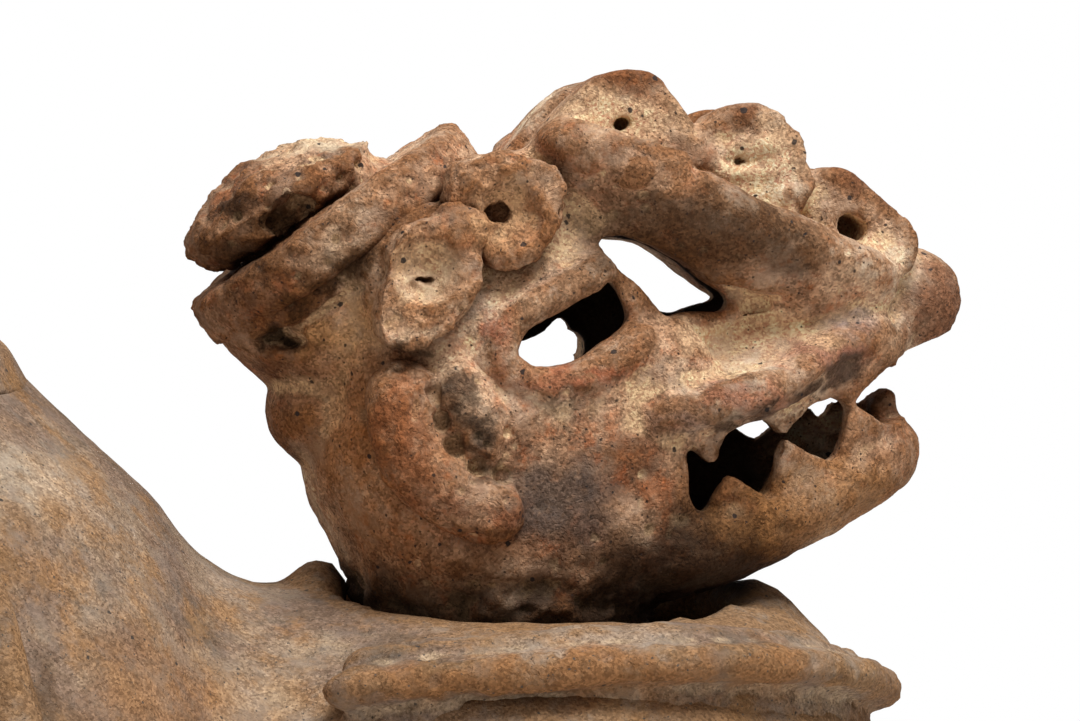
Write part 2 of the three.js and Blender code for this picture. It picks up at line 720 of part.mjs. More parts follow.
// The knob of the nose, grown by a gap.
function noseForm(grow) {
  const half = [NOSE.halfLength + grow, NOSE.halfWidth + grow, NOSE.halfHeight + grow];
  return pebble([NOSE.x, 0, NOSE.z], half);
}

// The brow ridge of one side.
function makeBrowRidge(side) {
  const upper = RIDGE_LOW.map(([x, z]) => [x, z + RIDGE_BAND]).reverse();
  const ridge = skinStrip([...RIDGE_LOW, ...upper], side, RIDGE_INNER_Y, RIDGE_RISE);
  return ridge.subtract(openings(side)).subtract(noseForm(JOINT_GAP));
}

// One poked pellet, its back cut to lie on what carries it.
function makeLug(row, side, carrier) {
  const [, x, z, reach, halfLength, halfThickness, halfHeight, tilt] = row;
  const y = side * reach;
  const lug = pebble([x, y, z], [halfLength, halfThickness, halfHeight], THREE.MathUtils.degToRad(tilt));
  const poke = new THREE.CylinderGeometry(POKE_RADIUS, POKE_RADIUS, 2 * halfThickness, ROLL_AROUND);
  poke.translate(x, y + side * halfThickness, z - POKE_DROP);
  return lug.subtract(carrier).subtract(solidOf(poke));
}

// The roll that frames one cheek.
function makeCheekRoll(side) {
  const points = CHEEK_ROLL.map(([x, reach, z]) => [x, side * reach, z]);
  return clayRoll(points, CHEEK_ROLL_RADIUS).subtract(headSeat);
}

// One tooth, a flattened peg standing on the lip line of a side.
function makeTooth(lip, rows, tooth, side, up) {
  const [x, halfBase, height] = tooth;
  const line = [...lip].sort((a, b) => a[0] - b[0]);
  const next = Math.max(1, line.findIndex((point) => point[0] >= x));
  const [fromX, fromZ] = line[next - 1];
  const [toX, toZ] = line[next];
  const slope = (toZ - fromZ) / (toX - fromX);
  const z = fromZ + slope * (x - fromX);
  const y = side * (halfWidthAt(rows, x, z) - HEAD_WALL / 2);
  const geometry = new THREE.CylinderGeometry(halfBase * TOOTH_TIP_SHARE, halfBase, height, ROLL_AROUND);
  geometry.rotateX((up * Math.PI) / 2);
  geometry.scale(1, TOOTH_THICKNESS / (2 * halfBase), 1);
  geometry.translate(0, 0, up * (height / 2 + JOINT_GAP));
  geometry.rotateY(-Math.atan(slope));
  geometry.translate(x, y, z);
  return solidOf(geometry);
}

// The lower plate of the headdress, grown by a gap.
function brimForm(grow) {
  return plate(
    BRIM_X,
    BRIM_Z,
    BRIM_HALF_LENGTH + grow,
    BRIM_HALF_WIDTH + grow,
    BRIM_THICKNESS + 2 * grow,
  );
}

// The upper plate with its core, standing on the brim.
function makeCrown() {
  const along = [Math.cos(PLATE_TILT), -Math.sin(PLATE_TILT)];
  const way = [Math.sin(PLATE_TILT), Math.cos(PLATE_TILT)];
  const x = BRIM_X + CROWN_RISE * way[0] - CROWN_SETBACK * along[0];
  const z = BRIM_Z + CROWN_RISE * way[1] - CROWN_SETBACK * along[1];
  const top = plate(x, z, CROWN_HALF_LENGTH, CROWN_HALF_WIDTH, CROWN_THICKNESS);
  const core = new THREE.CylinderGeometry(CROWN_CORE_RADIUS, CROWN_CORE_RADIUS, CROWN_RISE, LOFT_AROUND);
  core.rotateX(Math.PI / 2);
  core.translate(0, 0, CROWN_RISE / 2);
  core.rotateY(PLATE_TILT);
  core.translate(BRIM_X - CROWN_SETBACK * along[0], 0, BRIM_Z - CROWN_SETBACK * along[1]);
  return joined(top, solidOf(core)).subtract(brimForm(JOINT_GAP)).subtract(headSeat);
}

const part = new THREE.Group();
part.name = "effigy_urn";
const urn = new THREE.Group();
urn.name = "urn";
const head = new THREE.Group();
head.name = "head";
head.position.set(SOCKET_X, 0, SOCKET_RIM_Z);
part.add(urn, head);

// Adds one named piece to a group.
function addPiece(group, name, solid, clay) {
  const mesh = new THREE.Mesh(geometryOf(solid), clay);
  mesh.name = name;
  group.add(mesh);
}

addPiece(urn, "base_disc", bodyOuter.intersect(slab(0, BASE_THICKNESS)), CLAY);
addPiece(urn, "urn_body", makeUrnBody(), CLAY);
addPiece(urn, "socket_sleeve", makeSocketSleeve(), CLAY);
addPiece(urn, "seat_ledge", makeSeatLedge(), CLAY);
addPiece(urn, "jar_neck", makeJarNeck(), CLAY);
addPiece(urn, "shoulder_ring", makeShoulderRing(), CLAY);
addPiece(urn, "chest_collar", makeChestCollar(), CLAY);

const headShell = makeHeadShell();
addPiece(head, "neck_and_jaw", headShell.intersect(belowSeam(0)), HEAD_CLAY);
addPiece(head, "face_mask", headShell.subtract(belowSeam(JOINT_GAP)), HEAD_CLAY);
addPiece(head, "headdress_brim", brimForm(0).subtract(headSeat), HEAD_CLAY);
addPiece(head, "headdress_crown", makeCrown(), HEAD_CLAY);
addPiece(
  head,
  "nape_knob",
  pebble(
    [NAPE_KNOB.x, 0, NAPE_KNOB.z],
    [NAPE_KNOB.halfLength, NAPE_KNOB.halfWidth, NAPE_KNOB.halfHeight],
  ).subtract(headSeat),
  HEAD_CLAY,
);
const ruffSeat = headSeat.add(brimForm(JOINT_GAP));
const ridgeSeat = headForm(RIDGE_RISE + JOINT_GAP);
addPiece(head, "nose_roll", noseForm(0).subtract(headSeat), HEAD_CLAY);

for (const [label, side] of [["right", -1], ["left", 1]]) {
  addPiece(urn, `flank_strap_${label}`, makeFlankStrap(side), CLAY);
  addPiece(head, `brow_ridge_${label}`, makeBrowRidge(side), HEAD_CLAY);
  addPiece(head, `eye_lid_${label}`, makeEyeLid(side), HEAD_CLAY);
  addPiece(head, `upper_lip_${label}`, makeUpperLip(side), HEAD_CLAY);
  addPiece(head, `cheek_roll_${label}`, makeCheekRoll(side), HEAD_CLAY);
  for (const row of RUFF_LUGS) {
    addPiece(head, `${row[0]}_${label}`, makeLug(row, side, ruffSeat), HEAD_CLAY);
  }
  for (const row of CREST_LUGS) {
    addPiece(head, `${row[0]}_${label}`, makeLug(row, side, ridgeSeat), HEAD_CLAY);
  }
  LOWER_TEETH.forEach((tooth, i) => {
    const peg = makeTooth(LOWER_LIP, JAW, tooth, side, 1);
    addPiece(head, `lower_tooth_${i + 1}_${label}`, peg, HEAD_CLAY);
  });
  UPPER_TEETH.forEach((tooth, i) => {
    const peg = makeTooth(UPPER_LIP, MUZZLE, tooth, side, -1);
    addPiece(head, `upper_tooth_${i + 1}_${label}`, peg, HEAD_CLAY);
  });
}

export default part;
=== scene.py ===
"""Effigy urn: an earthenware jar whose chest carries a loose animal head as its stopper.

Every piece is worked in millimetres in the CAD frame and scaled to metres when it is finished.
Head sizes are taken from the middle of the socket at its rim, as in the CAD.
"""

import logging
import math
from collections.abc import Sequence
from dataclasses import dataclass, field
from enum import Enum

import bmesh
import bpy
import numpy as np
from mathutils import Matrix, Quaternion, Vector, noise
from mathutils.bvhtree import BVHTree


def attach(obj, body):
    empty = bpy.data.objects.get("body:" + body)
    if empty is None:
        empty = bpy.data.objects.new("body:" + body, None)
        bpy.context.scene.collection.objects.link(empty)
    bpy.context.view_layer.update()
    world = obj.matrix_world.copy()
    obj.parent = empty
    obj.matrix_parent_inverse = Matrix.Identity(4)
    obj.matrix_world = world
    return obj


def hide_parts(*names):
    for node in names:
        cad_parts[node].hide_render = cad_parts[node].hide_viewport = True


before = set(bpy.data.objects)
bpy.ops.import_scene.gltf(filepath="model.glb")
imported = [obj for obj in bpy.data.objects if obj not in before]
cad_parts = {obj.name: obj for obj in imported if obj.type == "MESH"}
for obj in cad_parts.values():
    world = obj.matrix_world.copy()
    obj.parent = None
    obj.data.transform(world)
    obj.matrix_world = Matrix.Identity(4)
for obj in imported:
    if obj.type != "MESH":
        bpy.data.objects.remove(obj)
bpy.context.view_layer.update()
LOG = logging.getLogger("effigy_urn")

MM = 0.001
UP = Vector((0, 0, 1))
AHEAD = Vector((1, 0, 0))
NOWHERE = Vector((0, 0, 0))
HEAD_PLACE = Vector((127, 0, 200))

# How fine forms are made: a ball's faces, points for each span of a rounded outline, and the least half size
BALL_FACES = (48, 32)
CURVE_STEPS = 4
LEAST_HALF = 1.5

# How rolls lie and end: the usual section, what counts as upright, and the least square of the girth
ROLL_SQUARENESS = 2.4
UPRIGHT = 0.9
END_LEAST = 0.06

# How a skin is worked: how finer waves follow coarser ones, which pits are chosen, and how hard it is wiped
WAVE_FADE = 1.0
WAVE_STEP = 2.0
PIT_SEED = 9.1
WIPE_FACTOR = 0.5
RELIEF_ROUNDS = 40

# What an outline's level edge counts as rising
NEARLY_LEVEL = 1e-9

# Settings that shader nodes share
EASE = {"interpolation_type": "SMOOTHSTEP"}
TINT = {"data_type": "RGBA", "blend_type": "MIX"}
DARKEN = {"data_type": "RGBA", "blend_type": "MULTIPLY"}
FLECK = {"data_type": "RGBA", "blend_type": "OVERLAY"}
TIMES = {"operation": "MULTIPLY"}
TIMES_PLUS = {"operation": "MULTIPLY_ADD"}
LESS = {"operation": "SUBTRACT"}

# Sockets of a mix of colours, whose names are shared with those of other mixes
FACTOR, UNDER, OVER = 0, 6, 7

Pair = tuple[float, float]
Triple = tuple[float, float, float]
Triples = tuple[Triple, ...]
Outline = Sequence[Pair]
Rows = Sequence[tuple[float, float, float, float]]
Levels = tuple[Pair, ...]
Step = tuple[str, dict]


class Side(Enum):
    """The animal's two sides, as the sign of Y."""

    RIGHT = -1
    LEFT = 1

    @property
    def label(self) -> str:
        """The side's name as the CAD nodes end."""
        return self.name.lower()


class Carrier(Enum):
    """What a piece rides on: the CAD body and its material slot."""

    URN = ("urn", "body_clay")
    HEAD = ("head", "head_clay")


def linear(colour: str) -> tuple[float, float, float, float]:
    """Turns an sRGB hex colour into linear RGBA.

    Args:
        colour: Six hex digits after a hash.

    Returns:
        Red, green, blue and alpha.
    """
    parts = [int(colour[i : i + 2], 16) / 255 for i in (1, 3, 5)]
    red, green, blue = (c / 12.92 if c <= 0.04045 else ((c + 0.055) / 1.055) ** 2.4 for c in parts)
    return red, green, blue, 1.0


def curve_through(points: Sequence[Vector], steps: int, closed: bool = False) -> list[Vector]:
    """Gives points of a smooth curve through some points.

    Args:
        points: Points that the curve passes.
        steps: Points given for each span.
        closed: Whether the curve comes back to its start.

    Returns:
        The curve's points in order.
    """
    last = len(points) - 1
    pick = (lambda i: points[i % len(points)]) if closed else (lambda i: points[min(max(i, 0), last)])
    path = []
    for span in range(last + 1 if closed else last):
        before, start, end, after = (pick(span + i) for i in (-1, 0, 1, 2))
        for step in range(steps):
            t = step / steps
            bend = (2 * before - 5 * start + 4 * end - after) * t * t
            twist = (3 * start - before - 3 * end + after) * t**3
            path.append((2 * start + (end - before) * t + bend + twist) / 2)
    if not closed:
        path.append(points[last].copy())
    return path


def rounded(outline: Outline) -> list[Pair]:
    """Rounds a closed outline off.

    Args:
        outline: Its corners as x and z.

    Returns:
        Points of the smooth curve through them.
    """
    curve = curve_through([Vector((x, 0, z)) for x, z in outline], CURVE_STEPS, closed=True)
    return [(point.x, point.z) for point in curve]


def ring_at(centre: Vector, across: Vector, upright: Vector) -> Matrix:
    """Gives the place of a loft's ring.

    Args:
        centre: Middle of the ring.
        across: One half axis.
        upright: The other half axis.

    Returns:
        A matrix that takes the unit circle to the ring.
    """
    place = Matrix((across, upright, across.cross(upright).normalized())).transposed().to_4x4()
    place.translation = centre
    return place


def forward_rings(rows: Rows, grow: float) -> list[Matrix]:
    """Gives the rings of a form that runs forwards.

    Args:
        rows: Each ring's x, z, half width and half height.
        grow: How much every half size grows.

    Returns:
        One matrix for each ring.
    """
    first, last = rows[0], rows[-1]
    rings = []
    for row in rows:
        x, z, half_width, half_height = row
        x += grow if row is last else -grow if row is first else 0
        across = Vector((0, max(half_width + grow, LEAST_HALF), 0))
        upright = Vector((0, 0, max(half_height + grow, LEAST_HALF)))
        rings.append(ring_at(Vector((x, 0, z)), across, upright))
    return rings


def roll_rings(
    points: Sequence[Vector], wide: float, tall: float, steps: int = 6, lean: float = 0.0
) -> list[Matrix]:
    """Gives the rings of a hand-rolled strip with rounded ends.

    Args:
        points: Points that the strip's middle passes.
        wide: Half its width, level.
        tall: Half its height.
        steps: Rings for each span.
        lean: How far its section is turned about its run, in degrees.

    Returns:
        One matrix for each ring.
    """
    path = curve_through(points, steps)
    reaches = [0.0]
    for here, there in zip(path, path[1:]):
        reaches.append(reaches[-1] + (there - here).length)
    end = max(wide, tall)
    rings = []
    for i, point in enumerate(path):
        way = (path[min(i + 1, len(path) - 1)] - path[max(i - 1, 0)]).normalized()
        side = way.cross(AHEAD if abs(way.z) > UPRIGHT else UP).normalized()
        side.rotate(Quaternion(way, math.radians(lean)))
        over = side.cross(way)
        to_end = min(reaches[i], reaches[-1] - reaches[i])
        thin = max(0.0, 1 - to_end / end)
        girth = math.sqrt(max(END_LEAST, 1 - thin * thin))
        rings.append(ring_at(point, side * wide * girth, over * tall * girth))
    return rings


@dataclass(frozen=True)
class Dab:
    """One stroke of the thumb: clay raised or pressed in round a place.

    Attributes:
        place: Middle of the stroke in millimetres.
        reach: How far it goes, along x, y and z.
        lift: How far the skin rises, or sinks when negative.
    """

    place: Triple
    reach: Triple
    lift: float


@dataclass(frozen=True)
class Unevenness:
    """How far a hand-made skin wanders.

    Attributes:
        grain: Size of one wave in millimetres.
        height: How far it rises and sinks.
        octaves: How many finer waves ride on it.
        place: Middle of the part that wanders, everywhere when left out.
        reach: How far that part goes, along x, y and z.
    """

    grain: float
    height: float
    octaves: int = 3
    place: Triple | None = None
    reach: Triple = (1, 1, 1)


@dataclass(frozen=True)
class Pitting:
    """Pits where grit and straw fell out of the skin.

    Attributes:
        spacing: Distance between places where a pit may be.
        share: How many of those places hold one.
        width: A pit's radius as a share of the spacing.
        depth: How deep it is.
    """

    spacing: float
    share: float
    width: float
    depth: float

    def sink(self, place: Vector) -> float:
        """Tells how far the skin sinks at a place.

        Args:
            place: Where.

        Returns:
            The depth in millimetres.
        """
        away, seeds = noise.voronoi(place / self.spacing)
        if away[0] > self.width or noise.cell(seeds[0] * PIT_SEED) > self.share:
            return 0.0
        return self.depth * (1 - (away[0] / self.width) ** 2)


class Clay:
    """A lump of clay in millimetres that operators shape and modifiers work over."""

    def __init__(self) -> None:
        """Starts with nothing."""
        self.bm = bmesh.new()

    def ball(
        self, centre: Vector, half: Sequence[float], tilt: float = 0.0, fullness: float = 1.0
    ) -> "Clay":
        """Adds a ball with its own half sizes.

        Args:
            centre: Its middle.
            half: Its half sizes along x, y and z before it is turned.
            tilt: How far it is turned about Y, in degrees.
            fullness: 1 for a round face, less for a flatter one with steeper sides.

        Returns:
            The lump.
        """
        around, rings = BALL_FACES
        made = bmesh.ops.create_uvsphere(self.bm, u_segments=around, v_segments=rings, radius=1)
        verts = made["verts"]
        for vert in verts:
            vert.co.y = math.copysign(abs(vert.co.y) ** fullness, vert.co.y)
        turn = Matrix.Rotation(math.radians(tilt), 4, "Y")
        place = Matrix.Translation(centre) @ turn @ Matrix.Diagonal((*half, 1))
        bmesh.ops.transform(self.bm, matrix=place, verts=verts)
        return self

    def loft(
        self, rings: Sequence[Matrix], squareness: float = 2.0, around: int = 32, steps: int = 1
    ) -> "Clay":
        """Adds a closed form through rings.

        Args:
            rings: Where each ring lies.
            squareness: 2 for oval rings, more for boxier ones.
            around: Points round each ring.
            steps: Rings made for each span, along smooth curves.

        Returns:
            The lump.
        """
        loops = []
        columns = [curve_through([ring.col[i].to_3d() for ring in rings], steps) for i in (0, 1, 3)]
        for ring in (ring_at(centre, across, upright) for across, upright, centre in zip(*columns)):
            verts = bmesh.ops.create_circle(self.bm, cap_ends=False, segments=around, radius=1)["verts"]
            for vert in verts:
                for axis in (0, 1):
                    wave = vert.co[axis]
                    vert.co[axis] = math.copysign(abs(wave) ** (2 / squareness), wave)
            bmesh.ops.transform(self.bm, matrix=ring, verts=verts)
            loops.append(list({edge for vert in verts for edge in vert.link_edges}))
        faces = []
        for one, other in zip(loops, loops[1:]):
            faces += bmesh.ops.bridge_loops(self.bm, edges=one + other)["faces"]
        faces += bmesh.ops.holes_fill(self.bm, edges=loops[0] + loops[-1], sides=around)["faces"]
        bmesh.ops.recalc_face_normals(self.bm, faces=faces)
        return self

    def block(self, outline: Outline, from_y: float, to_y: float) -> "Clay":
        """Adds a side outline carried across.

        Args:
            outline: Its corners as x and z.
            from_y: Where it starts.
            to_y: Where it ends.

        Returns:
            The lump.
        """
        face = self.bm.faces.new([self.bm.verts.new((x, from_y, z)) for x, z in outline])
        made = bmesh.ops.extrude_face_region(self.bm, geom=[face])["geom"]
        moved = [item for item in made if isinstance(item, bmesh.types.BMVert)]
        bmesh.ops.translate(self.bm, verts=moved, vec=(0, to_y - from_y, 0))
        sides = {side for vert in moved for side in vert.link_faces} | {face}
        bmesh.ops.recalc_face_normals(self.bm, faces=list(sides))
        return self

    def lump(self, mesh: bpy.types.Mesh) -> "Clay":
        """Adds a finished mesh, which is used up.

        Args:
            mesh: The mesh.

        Returns:
            The lump.
        """
        self.bm.from_mesh(mesh)
        bpy.data.meshes.remove(mesh)
        return self

    def worked(self, *steps: Step) -> bpy.types.Mesh:
        """Works the lump over with modifiers.

        Args:
            steps: Each modifier's kind and settings.

        Returns:
            The mesh that comes out.
        """
        raw = bpy.data.meshes.new("raw_clay")
        self.bm.to_mesh(raw)
        self.bm.free()
        bench = bpy.data.objects.new("bench", raw)
        bpy.context.scene.collection.objects.link(bench)
        for kind, settings in steps:
            modifier = bench.modifiers.new(kind.lower(), kind)
            for name, value in settings.items():
                setattr(modifier, name, value)
        graph = bpy.context.evaluated_depsgraph_get()
        done = bpy.data.meshes.new_from_object(bench.evaluated_get(graph))
        bpy.data.objects.remove(bench)
        bpy.data.meshes.remove(raw)
        return done


def rounder(levels: int) -> Step:
    """Gives the modifier that rounds a form off."""
    return "SUBSURF", {"levels": levels, "render_levels": levels}


def kneaded(voxel: float) -> Step:
    """Gives the modifier that melts lumps into one even skin."""
    return "REMESH", {"mode": "VOXEL", "voxel_size": voxel}


def wiped(times: int) -> Step:
    """Gives the modifier that wipes a skin smooth."""
    return "SMOOTH", {"iterations": times, "factor": WIPE_FACTOR}


def carved(mesh: bpy.types.Mesh, cutter: bpy.types.Mesh) -> bpy.types.Mesh:
    """Cuts one mesh out of another; both are used up.

    Args:
        mesh: What is cut.
        cutter: What is taken away.

    Returns:
        What is left.
    """
    knife = bpy.data.objects.new("knife", cutter)
    bpy.context.scene.collection.objects.link(knife)
    cut = ("BOOLEAN", {"operation": "DIFFERENCE", "solver": "MANIFOLD", "object": knife})
    left = Clay().lump(mesh).worked(cut)
    bpy.data.objects.remove(knife)
    bpy.data.meshes.remove(cutter)
    return left


def nearness(places: np.ndarray, middle: Sequence[float], reach: Sequence[float]) -> np.ndarray:
    """Tells how near places are to a middle.

    Args:
        places: One row of x, y and z for each place.
        middle: The middle.
        reach: How far it counts, along x, y and z.

    Returns:
        1 at the middle, falling softly to 0 at the reach.
    """
    away = np.linalg.norm((places - middle) / reach, axis=1)
    return np.clip(1 - away * away, 0, 1) ** 2


def modelled(
    mesh: bpy.types.Mesh,
    waves: Sequence[Unevenness] = (),
    dabs: Sequence[Dab] = (),
    pits: Sequence[Pitting] = (),
) -> bpy.types.Mesh:
    """Moves a skin along its normals by hand-made waves, dabs and pits.

    Args:
        mesh: The skin.
        waves: How it wanders.
        dabs: Where it is raised or pressed in.
        pits: What fell out of it.

    Returns:
        The same mesh.
    """
    count = len(mesh.vertices)
    places = np.empty(count * 3)
    normals = np.empty(count * 3)
    mesh.vertices.foreach_get("co", places)
    mesh.vertices.foreach_get("normal", normals)
    places, normals = places.reshape(-1, 3), normals.reshape(-1, 3)
    lift = np.zeros(count)
    for dab in dabs:
        lift += dab.lift * nearness(places, dab.place, dab.reach)
    for wave in waves:
        share = nearness(places, wave.place, wave.reach) if wave.place else np.ones(count)
        for i in np.flatnonzero(share):
            place = mesh.vertices[i].co / wave.grain
            lift[i] += share[i] * wave.height * noise.fractal(place, WAVE_FADE, WAVE_STEP, wave.octaves)
    for pit in pits:
        lift -= [pit.sink(vert.co) for vert in mesh.vertices]
    mesh.vertices.foreach_set("co", (places + normals * lift[:, None]).ravel())
    mesh.update()
    return mesh


@dataclass(frozen=True)
class Handwork:
    """How a piece's skin is kneaded, wiped and worn.

    Attributes:
        voxel: Size of one face of the kneaded skin.
        wipes: How often it is wiped smooth.
        waves: How it wanders.
        pits: What fell out of it.
    """

    voxel: float
    wipes: int
    waves: tuple[Unevenness, ...] = ()
    pits: tuple[Pitting, ...] = ()

    def knead(self, clay: Clay, *first: Step) -> bpy.types.Mesh:
        """Melts a lump into one even skin, after some first steps, and wipes it smooth."""
        return clay.worked(*first, kneaded(self.voxel), wiped(self.wipes))

    def wear(self, mesh: bpy.types.Mesh, dabs: Sequence[Dab] = ()) -> bpy.types.Mesh:
        """Gives a skin its waves and pits, and some dabs."""
        return modelled(mesh, self.waves, dabs, self.pits)


POKE_WAVES = (Unevenness(3.5, 1.1, 2),)


def note_relief(mesh: bpy.types.Mesh, rounds: int) -> None:
    """Keeps how proud each point stands of the skin round it, in millimetres, for worn and filled places.

    Args:
        mesh: The skin.
        rounds: How often the skin is smoothed to find its broad form.
    """
    count = len(mesh.vertices)
    places = np.empty(count * 3)
    normals = np.empty(count * 3)
    ends = np.empty(len(mesh.edges) * 2, int)
    mesh.vertices.foreach_get("co", places)
    mesh.vertices.foreach_get("normal", normals)
    mesh.edges.foreach_get("vertices", ends)
    places, normals = places.reshape(-1, 3), normals.reshape(-1, 3)
    one, other = ends.reshape(-1, 2).T
    here, there = np.concatenate((one, other)), np.concatenate((other, one))
    links = np.maximum(np.bincount(here, minlength=count), 1)
    broad = places.copy()
    for _ in range(rounds):
        sums = [np.bincount(here, broad[there, axis], count) for axis in range(3)]
        broad = (broad + np.stack(sums, 1) / links[:, None]) / 2
    relief = ((places - broad) * normals).sum(1)
    mesh.attributes.new("relief", "FLOAT", "POINT").data.foreach_set("value", relief)


def as_piece(
    mesh: bpy.types.Mesh,
    name: str,
    carrier: Carrier,
    nodes: Sequence[str],
    finish: bpy.types.Material,
) -> bpy.types.Object:
    """Turns a worked mesh into a piece that stands for CAD nodes.

    Args:
        mesh: The mesh in millimetres, from its carrier's own origin.
        name: The piece's name.
        carrier: What it rides on.
        nodes: The CAD nodes it stands for.
        finish: Its material.

    Returns:
        The piece.
    """
    note_relief(mesh, RELIEF_ROUNDS)
    shift = HEAD_PLACE if carrier is Carrier.HEAD else NOWHERE
    mesh.transform(Matrix.Scale(MM, 4) @ Matrix.Translation(shift))
    mesh.polygons.foreach_set("use_smooth", [True] * len(mesh.polygons))
    mesh.materials.clear()
    mesh.materials.append(finish)
    mesh.name = name
    piece = bpy.data.objects.new(name, mesh)
    bpy.context.scene.collection.objects.link(piece)
    body, slot = carrier.value
    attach(piece, body)
    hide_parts(*nodes)
    LOG.info("%s: %d faces", name, len(mesh.polygons))
    return piece


def add_node(tree: bpy.types.NodeTree, kind: str, settings: dict, inputs: dict) -> bpy.types.Node:
    """Adds a shader node with its settings and links.

    Args:
        tree: The node tree.
        kind: The node's type.
        settings: Attributes by name.
        inputs: Sockets by name or number, each a value, or the node or socket that feeds it.

    Returns:
        The node.
    """
    made = tree.nodes.new(kind)
    for name, value in settings.items():
        setattr(made, name, value)
    for name, value in inputs.items():
        if isinstance(value, bpy.types.Node):
            value = next(socket for socket in value.outputs if socket.enabled)
        if isinstance(value, bpy.types.NodeSocket):
            tree.links.new(value, made.inputs[name])
        else:
            made.inputs[name].default_value = value
    return made


@dataclass(frozen=True)
class StainOrShade:
    """A patch on the clay of pigment, smoke-black or mineral; some patches are painted shade where shadow
    falls.

    Attributes:
        colour: Its sRGB colour.
        place: Its middle in millimetres from the carrier's origin.
        reach: How far it goes along x, y and z.
        strength: How much of the clay it hides.
        core: How much of its reach it covers fully.
        hold: How much of it is left where it has worn most.
    """

    colour: str
    place: Triple
    reach: Triple
    strength: float
    core: float = 0.35
    hold: float = 0.45


